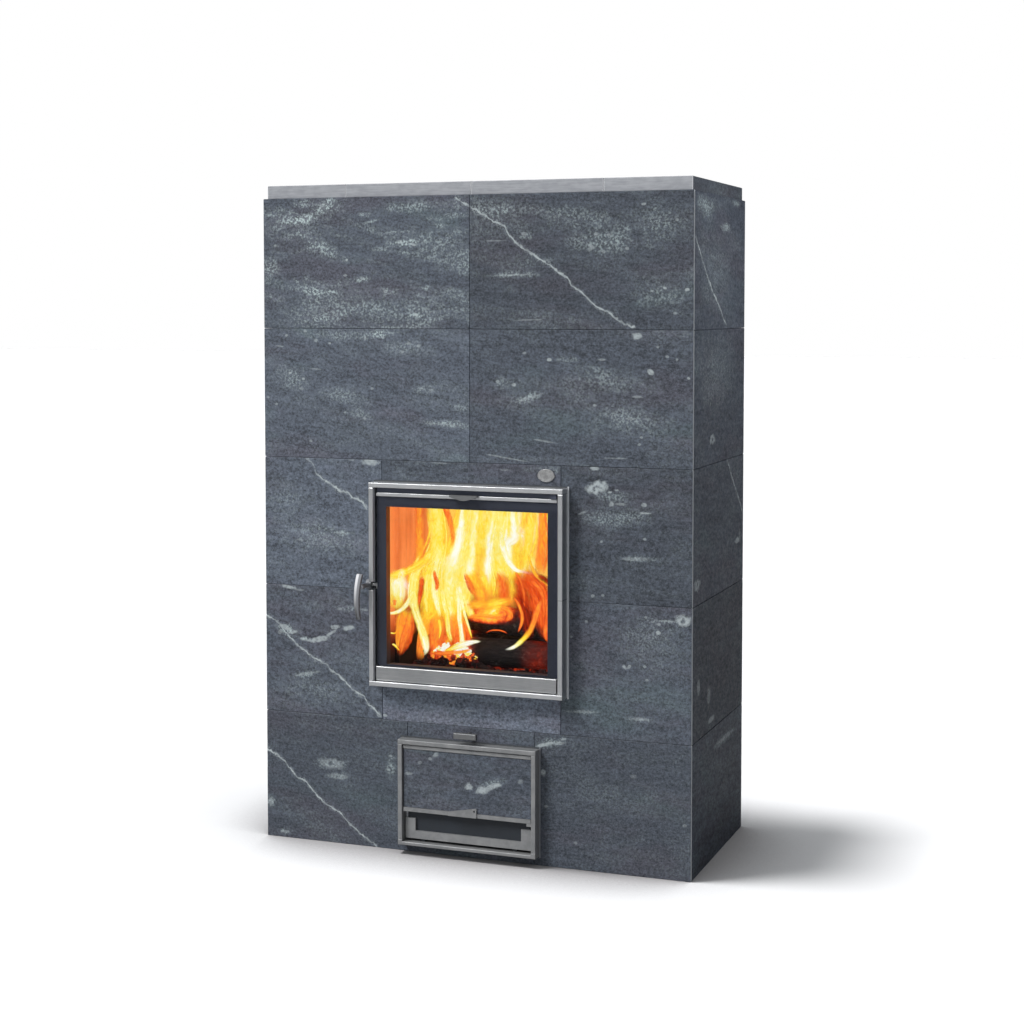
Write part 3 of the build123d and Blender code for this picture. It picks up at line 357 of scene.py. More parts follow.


# Each stone's own look, in millimetres and degrees. Veins run through (across, height). Clouds of talc and
# single spots are (across, height, half width, half height, tilt, strength), and one more number gives a spot
# a dark middle.
# toneAndPaintedLight darkens or lightens a whole stone: partly its own tone, partly painted light and shade,
# so the front is lighter on its left than on its right and darker at its base, the side stones are darker,
# most of all low down, and the door sill is painted lighter where the door frame shades it
stoneLooks = {
    "front_stone_top_left": {
        "seed": 1.0, "tilt": -4.0, "toneAndPaintedLight": 0.93, "flecks": 0.6,
        "veins": [[(-34, 1473), (-18, 1464), (1, 1453)]],
        "clouds": [(-352, 1461, 32, 15, 40, 1), (-421, 1431, 62, 11, 5, 0.9), (-465, 1416, 22, 6, 0, 0.5),
            (-410, 1397, 22, 4, -25, 0.5), (-363, 1367, 47, 18, -15, 0.62), (-488, 1322, 18, 20, 0, 0.35),
            (-410, 1468, 33, 10, 0, 0.35), (-255, 1441, 18, 6, 0, 0.6), (-234, 1426, 22, 4, 15, 0.55),
            (-132, 1457, 83, 11, 0, 0.5), (-487, 1442, 12, 4, 0, 0.55), (-157, 1376, 37, 9, 4, 0.9),
            (-181, 1400, 18, 4, 0, 0.5), (-150, 1401, 14, 3, 0, 0.4), (-213, 1362, 21, 5, 0, 0.3),
            (-160, 1355, 15, 7, 0, 0.35), (-400, 1295, 9, 20, 0, 0.35), (-386, 1269, 31, 10, -10, 0.6),
            (-338, 1267, 26, 5, 0, 0.42), (-426, 1292, 15, 4, -40, 0.42), (-259, 1295, 22, 8, 0, 0.5),
            (-203, 1269, 22, 12, 0, 0.45), (-101, 1276, 12, 6, 0, 0.5), (-267, 1230, 214, 36, 0, 0.3),
            (-25, 1436, 27, 6, 0, 0.35), (-70, 1413, 25, 5, 0, 0.3), (-105, 1383, 35, 10, 0, 0.22),
            (-126, 1214, 22, 5, 0, 0.5), (-361, 1204, 30, 10, 0, 0.35)],
        "spots": [(-299, 1339, 3, 3, 0, 1), (-480, 1373, 4, 3, 0, 0.6), (-302, 1305, 5, 3, 0, 0.5),
            (-129, 1216, 5, 4, 0, 0.7), (-259, 1297, 5, 3, 0, 0.6), (-203, 1268, 5, 4, 0, 0.6),
            (-360, 1462, 10, 4, 30, 0.5), (-170, 1378, 8, 4, 10, 0.6), (-135, 1372, 8, 4, -20, 0.7)],
    },
    "front_stone_top_right": {
        "seed": 2.0, "tilt": -3.0, "toneAndPaintedLight": 0.69, "flecks": 0.26,
        "veins": [[(3, 1452), (12, 1447), (39, 1433), (57, 1420), (82, 1410), (91, 1393), (108, 1375),
            (130, 1359), (159, 1341), (190, 1323), (206, 1309), (227, 1298), (238, 1279), (262, 1263),
            (273, 1251), (293, 1234), (320, 1223), (340, 1208), (356, 1198), (381, 1189)]],
        "clouds": [(302, 1377, 80.2, 32.6, 0, 0.35), (72, 1441, 61.4, 18.6, 0, 0.35),
            (107, 1303, 51.9, 7, 0, 0.4), (133, 1388, 18.9, 9.3, 0, 0.5), (234, 1432, 118, 18.6, -8, 0.25),
            (436, 1259, 61.4, 32.6, -10, 0.25), (424, 1407, 56.6, 32.6, 0, 0.25)],
        "spots": [(128, 1392, 6.1, 4.2, 0, 0.45), (293, 1390, 5.2, 3.3, 0, 0.6),
            (321, 1388, 5.7, 3, 0, 0.55), (283, 1363, 8, 3.3, -20, 0.5), (310, 1352, 4.2, 3.5, 0, 0.5),
            (362, 1358, 4.7, 3.3, 0, 0.5), (399, 1452, 5.2, 3.5, 0, 0.85), (447, 1273, 4.7, 3.7, 0, 0.85),
            (418, 1267, 3.8, 3, 0, 0.5), (495, 1270, 5.2, 3.7, 0, 0.85), (470, 1220, 4.2, 3, 0, 0.5),
            (472, 1417, 3.8, 3.3, 0, 0.5), (306, 1426, 4.2, 2.8, 0, 0.45), (105, 1303, 44.8, 1.9, 2, 0.35),
            (137, 1205, 35.4, 1.9, 2, 0.35), (58, 1378, 23.6, 1.9, 0, 0.35),
            (279, 1357, 7.1, 3.7, 30, 0.35)],
    },
    "front_stone_upper_left": {
        "seed": 3.0, "tilt": -9.0, "toneAndPaintedLight": 1.06, "flecks": 0.22,
        "clouds": [(-304, 1170, 141.6, 11.7, 0, 0.35), (-212, 1173, 30.7, 9.3, 0, 0.6),
            (-59, 973, 61.4, 9.3, -4, 0.6), (-21, 1010, 18.9, 7, 0, 0.5), (-439, 1071, 51.9, 28, -10, 0.4),
            (-305, 1034, 61.4, 23.3, -10, 0.35), (-268, 991, 33, 11.7, -10, 0.4),
            (-107, 1051, 33, 14, 0, 0.35), (-144, 1142, 61.4, 21, 0, 0.3)],
        "spots": [(-404, 1178, 4.7, 3.5, 0, 0.55), (-452, 1168, 3.8, 3.3, 0, 0.7),
            (-377, 1157, 5.2, 4.7, 0, 0.6), (-342, 1151, 3.5, 2.8, 0, 0.7), (-254, 1163, 3.3, 4.7, 0, 0.7),
            (-210, 1164, 4.2, 3.3, 0, 0.5), (-147, 1152, 4.2, 3.3, 0, 0.5), (-123, 1146, 4.2, 3.3, 0, 0.5),
            (-162, 1133, 3.8, 2.8, 0, 0.5), (-444, 1082, 4.7, 3.3, 0, 0.85), (-410, 1069, 3.8, 3, 0, 0.7),
            (-415, 1046, 5.2, 3.3, 0, 0.45), (-500, 1025, 3.8, 3, 0, 0.5), (-479, 1010, 4.7, 3.3, 0, 0.45),
            (-237, 1049, 4.2, 3, 0, 0.5), (-305, 994, 3.8, 2.8, 0, 0.5), (-272, 989, 3.8, 2.8, 0, 0.5),
            (-256, 982, 3.8, 2.8, 0, 0.5), (-391, 927, 3.8, 2.8, 0, 0.5), (-116, 1052, 4.2, 3, 0, 0.5),
            (-92, 1048, 4.2, 3, 0, 0.5), (-469, 1143, 10.6, 2.1, -6, 0.5), (-380, 1092, 14.2, 1.9, -4, 0.4),
            (-59, 972, 47.2, 1.9, -3, 0.4)],
    },
    "front_stone_upper_right": {
        "seed": 4.0, "tilt": -6.0, "toneAndPaintedLight": 0.82, "flecks": 0.2,
        "clouds": [(137, 1035, 37.8, 9.3, 18, 0.5), (232, 1119, 28.3, 7, 0, 0.45),
            (392, 992, 80.2, 32.6, -6, 0.25), (84, 1067, 33, 14, 0, 0.3), (325, 1077, 94.4, 28, -8, 0.2)],
        "spots": [(385, 1172, 12.3, 7, 0, 0.85), (415, 1094, 8.5, 5.6, -30, 0.85),
            (186, 1119, 5.2, 3.5, 0, 0.85), (305, 1120, 8, 2.3, 0, 0.5), (129, 1133, 4.2, 3.3, 0, 0.5),
            (105, 1063, 5.2, 3.7, 0, 0.85), (67, 1070, 3.8, 3, 0, 0.5), (140, 1035, 30.7, 2.8, 18, 0.45),
            (499, 1082, 4.2, 3.3, 0, 0.8), (318, 1087, 3.8, 3, 0, 0.5), (452, 1128, 3.8, 3, 0, 0.5),
            (474, 1122, 3.8, 3, 0, 0.5), (432, 1148, 3.8, 3, 0, 0.5), (386, 1041, 14.2, 2.6, 0, 0.45),
            (291, 1021, 4, 3, 0, 0.5), (372, 994, 11.8, 2.6, 0, 0.4), (396, 954, 4, 3, 0, 0.5),
            (391, 939, 4, 3, 0, 0.5), (175, 941, 26, 1.9, -8, 0.45), (84, 902, 49.6, 1.9, -8, 0.45),
            (337, 908, 23.6, 1.9, 0, 0.4)],
    },
    "front_stone_middle_left": {
        "seed": 5.0, "tilt": -4.0, "toneAndPaintedLight": 1.16,
        "veins": [[(-406, 886), (-390, 880), (-383, 867), (-379, 854), (-362, 841), (-341, 828), (-322, 817),
            (-300, 811), (-285, 801), (-264, 793), (-257, 783), (-249, 774)]],
        "clouds": [(-317, 718, 23.6, 7, 0, 0.6), (-370, 700, 118, 41.9, -6, 0.25),
            (-446, 789, 61.4, 46.6, -8, 0.2)],
        "spots": [(-243, 882, 19.4, 7, -4, 0.85), (-255, 783, 6.1, 4.7, -40, 0.6),
            (-317, 718, 14.2, 3.7, 0, 0.4), (-288, 886, 7.1, 2.1, 0, 0.35), (-421, 698, 9.4, 2.1, -5, 0.35)],
    },
    "door_lintel_stone": {
        "seed": 7.0, "tilt": -2.0, "toneAndPaintedLight": 0.78,
        "clouds": [(212, 879, 94.4, 9.3, 0, 0.25)],
        "spots": [(-71, 885, 18.9, 1.9, 0, 0.35), (84, 875, 14.2, 1.9, 0, 0.3)],
    },
    "front_stone_middle_right": {
        "seed": 6.0, "tilt": -1.0, "toneAndPaintedLight": 0.66,
        "clouds": [(341, 825, 42.5, 14, 0, 0.35), (315, 774, 61.4, 21, 0, 0.3), (387, 693, 47.2, 7, 0, 0.3),
            (384, 781, 37.8, 18.6, 0, 0.25)],
        "spots": [(297, 844, 23, 13, 9, 1, 1), (292, 885, 10.9, 4.7, 0, 0.75), (325, 834, 5.2, 2.6, 0, 0.75),
            (341, 839, 5.2, 2.1, 0, 0.6), (330, 809, 6.6, 6.1, 60, 0.7), (347, 809, 18.9, 3, 0, 0.5),
            (402, 810, 5.7, 4.7, 0, 0.6), (408, 792, 14.2, 2.3, 0, 0.75), (382, 692, 35.4, 4.2, 2, 0.35),
            (306, 726, 3.5, 3.3, 0, 0.5), (403, 736, 4.2, 3.5, 0, 0.45), (287, 607, 4.2, 3, 30, 0.6),
            (310, 609, 3.8, 2.8, 0, 0.4), (263, 787, 8, 2.8, 25, 0.5)],
    },
    "front_stone_lower_left": {
        "seed": 8.0, "tilt": -8.0, "toneAndPaintedLight": 0.92,
        "veins": [[(-514, 524), (-510, 521), (-489, 509), (-475, 502), (-461, 482), (-443, 467), (-424, 449),
            (-408, 442), (-400, 433), (-381, 424), (-365, 416), (-351, 413), (-348, 402), (-329, 393),
            (-310, 379), (-296, 366), (-275, 352), (-261, 347), (-251, 330), (-235, 319), (-218, 304)]],
        "clouds": [(-451, 487, 28.3, 14, -10, 0.8), (-407, 469, 21.2, 7, -10, 0.8),
            (-410, 387, 35.4, 7, 10, 0.4), (-290, 545, 37.8, 7, 0, 0.3), (-372, 353, 94.4, 32.6, -10, 0.2)],
        "spots": [(-451, 587, 17.9, 4.4, -6, 0.85), (-459, 492, 16.5, 5.1, -20, 0.75),
            (-441, 482, 11.8, 4.2, 10, 0.7), (-474, 481, 7.1, 4.7, 60, 0.5),
            (-406, 467, 16.5, 3.3, -10, 0.7), (-370, 471, 23.6, 6.1, 10, 0.85),
            (-343, 486, 15.3, 3, 30, 0.7), (-332, 501, 13.7, 4.7, 4, 0.75), (-298, 501, 16, 5.8, 6, 0.85),
            (-321, 543, 7.1, 2.8, 0, 0.35), (-257, 545, 7.1, 2.8, 0, 0.35), (-410, 387, 30.7, 3.3, 12, 0.4),
            (-223, 307, 8, 5.1, -40, 0.6), (-422, 582, 11.8, 2.1, 0, 0.35)],
    },
    "door_sill_stone": {
        "seed": 10.0, "tilt": -2.0, "toneAndPaintedLight": 1.5,
        "spots": [(-207, 306, 4.7, 3.7, 0, 0.7), (0, 333, 21.2, 1.9, 0, 0.3)],
    },
    "front_stone_lower_right": {
        "seed": 9.0, "tilt": -3.0, "toneAndPaintedLight": 0.81,
        "clouds": [(456, 560, 42.5, 7, 0, 0.35), (265, 351, 33, 7, 0, 0.35), (395, 344, 28.3, 7, 0, 0.35),
            (417, 519, 70.8, 55.9, -4, 0.2)],
        "spots": [(490, 565, 17, 13, 0, 0.9, 1), (435, 535, 5.7, 4.7, 0, 0.75), (436, 554, 3.8, 2.8, 0, 0.5),
            (406, 567, 3.8, 2.8, 0, 0.5), (458, 562, 18.9, 1.9, 0, 0.5), (360, 456, 6.1, 3.7, -40, 0.7),
            (369, 457, 6.1, 3.3, 40, 0.6), (273, 550, 4, 3, 0, 0.5), (238, 515, 4, 3, 0, 0.5),
            (405, 460, 4, 3, 0, 0.5), (410, 431, 4, 3, 0, 0.5), (265, 351, 33, 2.8, 3, 0.35),
            (395, 345, 21.2, 3.3, 0, 0.35)],
    },
    "ash_lintel_stone": {
        "seed": 11.0, "tilt": -3.0, "toneAndPaintedLight": 0.8,
    },
    "threshold_stone": {
        "seed": 12.0, "tilt": -3.0, "toneAndPaintedLight": 0.75,
    },
    "front_stone_base_left": {
        "seed": 13.0, "tilt": -6.0, "toneAndPaintedLight": 0.7,
        "veins": [[(-517, 205), (-511, 203), (-497, 199), (-475, 186), (-462, 177), (-454, 166), (-441, 154),
            (-431, 143), (-412, 138), (-397, 122), (-381, 106), (-365, 92), (-350, 84), (-332, 77),
            (-316, 66), (-303, 51), (-285, 39), (-270, 25), (-252, 15), (-236, 7), (-223, -4)]],
        "clouds": [(-348, 182, 35.4, 14, 0, 0.4), (-327, 156, 28.3, 9.3, 0, 0.35),
            (-501, 82, 11.8, 14, 0, 0.5), (-465, 14, 16.5, 7, 0, 0.4), (-194, 194, 11.8, 37.3, 0, 0.35)],
        "spots": [(-345, 184, 29.5, 12.6, -6, 0.35, 1), (-327, 155, 26, 6.5, 0, 0.3, 1),
            (-501, 80, 7.1, 10.5, 0, 0.4), (-465, 13, 11.8, 3.7, 0, 0.35), (-194, 214, 3.8, 2.8, 0, 0.45),
            (-199, 182, 3.8, 2.8, 0, 0.4)],
    },
    "front_stone_base_right": {
        "seed": 14.0, "tilt": 0.0, "toneAndPaintedLight": 0.66,
        "clouds": [(189, 276, 42.5, 9.3, 14, 0.3)],
        "spots": [(179, 272, 24.8, 4, 15, 0.75), (212, 277, 15.3, 3.7, 10, 0.6),
            (222, 287, 7.1, 2.8, 15, 0.5), (172, 209, 7.1, 7, 0, 0.7), (181, 134, 5.2, 3.7, 0, 0.3),
            (249, 59, 4.7, 3.5, 0, 0.3), (496, 122, 4.7, 3.5, 0, 0.35), (380, 218, 7.1, 4.7, 0, 0.2)],
    },
    "ash_leaf_stone": {
        "seed": 15.0, "tilt": 0.0, "toneAndPaintedLight": 0.75,
        "clouds": [(60, 178, 36, 12, 20, 0.4)],
        "spots": [(6, 167, 9, 8, 0, 0.8), (38, 162, 15, 9, 8, 0.8), (60, 171, 22, 6, 22, 0.8),
            (-75, 232, 9, 5, 40, 0.5), (-88, 222, 5, 3.4, 0, 0.4), (-112, 211, 5, 4, 0, 0.3),
            (-140, 184, 11, 4, 0, 0.4), (128, 190, 6, 5, 0, 0.3)],
    },
    "back_stones": {
        "seed": 16.0, "tilt": -6.0, "toneAndPaintedLight": 0.9,
        "veins": [
            [(-500, 1020), (-430, 982), (-360, 921), (-270, 868), (-190, 790), (-80, 735), (-20, 668),
                (60, 620)],
            [(110, 1455), (180, 1411), (240, 1351), (330, 1312), (400, 1246), (498, 1201)],
        ],
        "clouds": [(-300, 1300, 110, 22, 14, 0.6), (260, 870, 90, 20, -8, 0.4),
            (-180, 330, 80, 16, -6, 0.4)],
        "spots": [(-120, 1120, 12, 5, 10, 0.8), (310, 640, 9, 7, 0, 0.7), (-330, 560, 14, 4, -8, 0.7),
            (210, 1090, 8, 5, 0, 0.7)],
    },
    "side_stones_top": {
        "seed": 21.0, "toneAndPaintedLight": 0.75, "flecks": 0.22, "side": True,
        "veins": [[(-219, 1381), (-204, 1369), (-187, 1356), (-159, 1332), (-122, 1302), (-71, 1267),
            (-19, 1238), (25, 1208), (57, 1192)]],
        "clouds": [(-143, 1450, 72, 21, 0, 0.7), (35, 1411, 54, 9.3, 0, 0.6), (137, 1470, 36, 9.3, 0, 0.5),
            (-54, 1336, 198, 93.2, 0, 0.15)],
    },
    "side_stones_upper": {
        "seed": 20.0, "toneAndPaintedLight": 0.7, "side": True,
        "clouds": [(-48, 1095, 180, 93.2, 0, 0.2)],
        "spots": [(-66, 942, 21.6, 10.7, 0, 0.7, 1)],
    },
    "side_stones_middle": {
        "seed": 19.0, "toneAndPaintedLight": 0.66, "side": True,
        "veins": [[(62, 894), (123, 836), (195, 776), (220, 752)]],
        "spots": [(168, 691, 19.8, 7, 0, 0.7), (-189, 637, 23.4, 11.7, 0, 0.7, 1),
            (192, 701, 9, 14, 0, 0.3)],
    },
    "side_stones_lower": {
        "seed": 18.0, "toneAndPaintedLight": 0.52, "side": True,
        "spots": [(-176, 413, 14.4, 16.3, 0, 0.5), (-86, 374, 14.4, 21, 0, 0.35),
            (-65, 319, 30.6, 7, 0, 0.6)],
    },
    "side_stones_base": {
        "seed": 17.0, "toneAndPaintedLight": 0.69, "side": True,
        "clouds": [(64, 249, 108, 11.7, 0, 0.4)],
        "spots": [(64, 251, 81, 5.6, 0, 0.4)],
    },
}

for name, look in stoneLooks.items():
    dress(makeStone(name + "Finish", **look), name)
print("soapstone faces:", len(stoneLooks))

topSlabs = {
    "tilt": 3.0,
    # toneAndPaintedLight: the slabs' own tone darkened by painted shade
    "toneAndPaintedLight": 0.69,
    "edge": (0.40, 0.41, 0.435, 1),
    "edgeDark": (0.31, 0.32, 0.345, 1),
    "paintedArrisHighlight": (0.72, 0.73, 0.75, 1),
    "names": ["top_slab_far_left", "top_slab_left", "top_slab_right", "top_slab_far_right"],
}


def makeSlabFinish(name, seed):
    # the face that looks forward is honed pale with level saw marks; its upright arrises get a painted
    # highlight
    material = makeStone(name, seed, topSlabs["tilt"], topSlabs["toneAndPaintedLight"])
    shader, place, dark = reopened(material)
    marks = noise(placed(place, stretch=(0.03, 1.0, 1.0)), 500.0, 4.0, 0.7)
    cloud = noise(placed(place, stretch=(0.4, 1.0, 1.0)), 90.0, 3.0)
    amount = scaled(marks, 0.6, times(cloud, 0.4))
    pale = blended(spread(amount, 0.4, 0.6), topSlabs["edgeDark"], topSlabs["edge"])
    normal = worldNormal(shader)
    # painted highlight on the upright arrises
    pale = blended(spread(absolute(normal["X"]), 0.3, 0.6), pale, topSlabs["paintedArrisHighlight"])
    finish(shader, Base_Color=blended(spread(normal["Y"], -0.5, -0.65), dark, pale))
    return material


for index, name in enumerate(topSlabs["names"]):
    dress(makeSlabFinish(name + "Finish", 30.0 + index), name)
print("top slabs done")


# Steel, iron and the hidden core

metals = {
    "steel": (0.66, 0.665, 0.67, 1),
    "steelDark": (0.50, 0.51, 0.52, 1),
    "bumps": (0.12, 0.0002),
    # plain finishes: stretch of the brushing, roughness, brightness, metallic share and the nodes they dress
    "finishes": {
        "steelBrushedAcross": ((0.02, 1, 1), 0.48, 1.0, 1.0, ["door_frame_rails", "door_top_bar"]),
        "steelAshFrame": (
            (0.02, 1, 0.02), 0.64, 0.53, 0.8, ["ash_frame_bars", "ash_leaf", "ash_drawer_trim"]
        ),
        "steelPanel": ((0.02, 1, 1), 0.42, 0.72, 1.0, ["door_bottom_panel"]),
        "steelSmallBars": (
            (0.02, 1, 1), 0.56, 0.40, 1.0, ["air_slide", "air_control_bar", "air_control_plate"]
        ),
        "steelTurned": (
            (0.5, 0.5, 0.5), 0.44, 0.6, 1.0,
            ["door_hinge_pins", "ash_hinge_pins", "air_control_rod", "flue_collar"],
        ),
        "steelLatch": ((0.02, 1, 1), 0.6, 0.85, 0.3, ["latch_shaft"]),
    },
}


def makeSteel(name, stretch, rough, bright, metallic):
    # satin steel: fine brushing along the bar, a faint cloud of handling over it
    material, shader, place = startMaterial(name, Metallic=metallic)
    brush = noise(placed(place, stretch=stretch), 1500.0, 3.0, 0.6)
    cloud = noise(place, 16.0, 3.0, 0.6)
    share = plus(times(brush, 0.7), times(cloud, 0.5))
    tone = blended(
        spread(share, 0.42, 0.78), brighter(metals["steelDark"], bright), brighter(metals["steel"], bright)
    )
    finish(shader, Base_Color=tone, Roughness=spread(share, 0.4, 0.8, rough + 0.08, rough - 0.05))
    bump(shader, brush, *metals["bumps"])
    return material


for name, (*look, dressed) in metals["finishes"].items():
    dress(makeSteel(name, *look), *dressed)

stileLook = {
    "steel": ((1, 1, 0.02), 0.36, 1.05, 1.0),
    "paintedLitStrip": (0.5, 0.52, 0.56, 1),
    "paintedShadeEnds": (0.06, 0.065, 0.07, 1),
    "matt": 0.8,
    # metres: the inner face behind the bar's outer side, the strip's reach behind its front, and the height
    # where the left bar's lower length ends
    "innerFace": 0.011,
    "stripFrom": 0.002,
    "stripTo": 0.011,
    "cutAt": 0.598,
}


def makeStileSteel(name, box):
    # upright bars: painted shade on the cut ends, and a painted highlight as a pale matt strip down the left
    # bar's inner face
    low, high = box
    look = stileLook
    material = makeSteel(name, *look["steel"])
    shader, place, tone = reopened(material)
    parts = sharesOf(place)
    rough = shader.inputs["Roughness"].links[0].from_socket
    fromFace = absolute(minus(parts["X"], low.x + look["innerFace"]))
    # painted highlight: a pale matt strip on the shaded inner face of the left bar
    paintedLitStrip = times(
        falling(fromFace, 0.0002, 0.0006),
        spread(parts["Y"], low.y + look["stripFrom"], low.y + look["stripFrom"] + 0.001),
        falling(parts["Y"], low.y + look["stripTo"] - 0.002, low.y + look["stripTo"]),
    )
    # painted shade: the cut ends are made dark and dull
    paintedShadeEnds = largest(
        falling(absolute(minus(parts["Z"], look["cutAt"])), 0.0002, 0.0005),
        spread(parts["Z"], high.z - 0.0006, high.z - 0.0002),
    )
    finish(shader, Base_Color=blended(paintedShadeEnds, blended(paintedLitStrip, tone, look["paintedLitStrip"]), look["paintedShadeEnds"]))
    matt = largest(paintedLitStrip, paintedShadeEnds)
    finish(shader, Roughness=largest(rough, times(matt, look["matt"])), Metallic=minus(1.0, matt))
    return material


dress(makeStileSteel("steelBrushedUpright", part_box("door_frame_stiles")), "door_frame_stiles")

handleLow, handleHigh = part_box("door_handle")
handleLook = {
    # painted reflection: the tone runs from the dark foot to the bright top
    "top": (0.6, 0.6, 0.62, 1),
    "foot": (0.035, 0.036, 0.04, 1),
    "hub": (0.2, 0.205, 0.22, 1),
    "footFrom": handleLow.z + 0.005,
    "footTo": handleHigh.z - 0.02,
    "hubFrom": handleHigh.x - 0.014,
}


def makeHandleSteel(name):
    # satin bar with a painted reflection: brightest where it starts and painted darker towards its foot, on a
    # dark rough hub
    look = handleLook
    material, shader, place = startMaterial(name, Metallic=0.12)
    parts = sharesOf(place)
    brush = noise(placed(place, stretch=(1, 1, 0.02)), 1500.0, 3.0, 0.6)
    # painted reflection, bright at the top and dark at the foot
    tone = blended(spread(parts["Z"], look["footFrom"], look["footTo"]), look["foot"], look["top"])
    tone = blended(spread(brush, 0.35, 0.7, 0.0, 0.25), tone, metals["steelDark"])
    hub = spread(parts["X"], look["hubFrom"], look["hubFrom"] + 0.001)
    finish(shader, Base_Color=blended(hub, tone, look["hub"]), Roughness=scaled(hub, 0.1, 0.6))
    bump(shader, brush, *metals["bumps"])
    return material


dress(makeHandleSteel("steelHandle"), "door_handle")

rimLook = {
    "dark": (0.045, 0.05, 0.058, 1),
    "cloud": (0.06, 0.064, 0.07, 1),
    # painted light for the shaded gap beside the leaf
    "pale": (0.75, 0.76, 0.8, 1),
    "soot": (0.005, 0.004, 0.004, 1),
    # metres: the dark margin at the sides and at both ends, the painted lit right edge, where the sleeve
    # starts and how far back it glows, and the heights over which its foot is sooty and its glow grows
    "sideMargin": 0.014,
    "endMargin": 0.015,
    "edge": 0.003,
    "sleeveFrom": 0.003,
    "glowDepth": (0.005, 0.034),
    "footHeights": (0.45, 0.52),
    "glowHeights": (0.42, 0.56),
    "heats": [
        (0.0, 0.0, 0.0, 0.0), (0.3, 0.12, 0.01, 0.004), (0.7, 0.6, 0.1, 0.02), (1.0, 1.0, 0.24, 0.055),
    ],
    # painted light on the right edge, how much painted light the sleeve takes, how strongly it glows
    "door_flange": ((0.55, 0.57, 0.6, 1), 0.0, 1.0),
    "ash_flange": ((0.17, 0.18, 0.2, 1), 1.0, 0.0),
}


def makeRim(name, box, paintedLitEdgeTone, paintedLightInSleeve, sleeveGlow):
    # flange behind a frame: dark at its outer rim, with painted light on its right edge and in the shaded gap
    # beside the leaf; the sleeve takes the fire's light
    low, high = box
    look = rimLook
    soft = 0.0005
    material, shader, place = startMaterial(name, Roughness=0.55, Emission_Strength=1.0)
    parts = sharesOf(place)
    side, end = high.x - look["sideMargin"], look["endMargin"]
    # painted light: the gap beside the leaf is made pale
    inside = times(
        falling(absolute(parts["X"]), side - soft, side + soft),
        spread(parts["Z"], low.z + end - soft, low.z + end + soft),
        falling(parts["Z"], high.z - end - soft, high.z - end + soft),
    )
    sleeve = spread(parts["Y"], low.y + look["sleeveFrom"], low.y + look["sleeveFrom"] + 0.001)
    inside = times(inside, scaled(sleeve, paintedLightInSleeve - 1.0, 1.0))
    # painted light: the right edge gets its own lighter tone
    edge = spread(parts["X"], high.x - look["edge"] - 0.0001, high.x - look["edge"] + 0.0002)
    foot = spread(parts["Z"], *look["footHeights"], sleeveGlow, 0.0)
    tone = blended(spread(noise(place, 60.0, 4.0, 0.6), 0.4, 0.6), look["dark"], look["cloud"])
    for share, over in ((inside, look["pale"]), (edge, paintedLitEdgeTone), (times(foot, sleeve), look["soot"])):
        tone = blended(share, tone, over)
    finish(shader, Base_Color=tone)
    back = spread(parts["Y"], *(low.y + depth for depth in look["glowDepth"]), 0.0, sleeveGlow)
    level = times(back, spread(parts["Z"], *look["glowHeights"]))
    finish(shader, Emission_Color=coloured(level, look["heats"]))
    return material


dress(makeRim("doorRimSteel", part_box("door_flange"), *rimLook["door_flange"]), "door_flange")
dress(makeRim("ashRimSteel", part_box("ash_flange"), *rimLook["ash_flange"]), "ash_flange")

blackLook = {
    # tone, roughness and how much lighter the rubbed patches are
    "leafPaint": ((0.031, 0.037, 0.060, 1), 0.5, 1.5),
    "drawerPaint": ((0.012, 0.016, 0.022, 1), 0.55, 1.4),
    "grateIron": ((0.03, 0.03, 0.032, 1), 0.7, 2.2),
    # on the leaf: the greyer tone, the side it covers and its share; the fire's glow painted on the jambs,
    # how far from the middle they lie, their top and the heights over which the painted glow grows
    "grey": (0.065, 0.075, 0.108, 1),
    "greySide": (-0.2, -0.1),
    "greyShare": 0.7,
    "paintedFireGlow": (0.3, 0.045, 0.025, 1),
    "jambAt": 0.192,
    "jambTop": 0.786,
    "jambHeights": (0.44, 0.56),
}


def makeBlack(name, leaf=False):
    # heat-proof black paint with a fine orange-peel and rubbed lighter patches; on the leaf it is greyer at
    # the top and down the left side, with the fire's glow painted on the jambs inside the window
    look = blackLook
    tone, rough, lift = look[name]
    material, shader, place = startMaterial(name)
    peel = noise(place, 700.0, 2.0)
    rub = noise(place, 18.0, 6.0, 0.7)
    paint = blended(spread(rub, 0.4, 0.72), tone, brighter(tone, lift))
    if leaf:
        parts = sharesOf(place)
        top = look["jambTop"]
        greyer = largest(falling(parts["X"], *look["greySide"]), spread(parts["Z"], top, top + 0.01))
        paint = blended(times(greyer, look["greyShare"]), paint, look["grey"])
        # painted light: the fire's glow on the jambs, growing with height
        paintedFireGlow = times(
            falling(absolute(parts["X"]), look["jambAt"], look["jambAt"] + 0.0005),
            falling(parts["Z"], top - 0.001, top - 0.0005),
            spread(parts["Z"], *look["jambHeights"]),
        )
        paint = blended(paintedFireGlow, paint, look["paintedFireGlow"])
    finish(shader, Base_Color=paint, Roughness=spread(rub, 0.3, 0.7, rough, rough + 0.15))
    bump(shader, peel, 0.2, 0.0003)
    return material


dress(makeBlack("leafPaint", leaf=True), "door_leaf")
dress(makeBlack("drawerPaint"), "ash_drawer")
dress(makeBlack("grateIron"), "grate")

ovalLook = {"dark": (0.32, 0.32, 0.32, 1), "pale": (0.5, 0.5, 0.5, 1), "metallic": 0.85}
glassLook = {"tone": (0.012, 0.012, 0.015, 1), "rough": 0.04, "haze": (0.03, 0.09), "slant": (0.35, 0.5)}


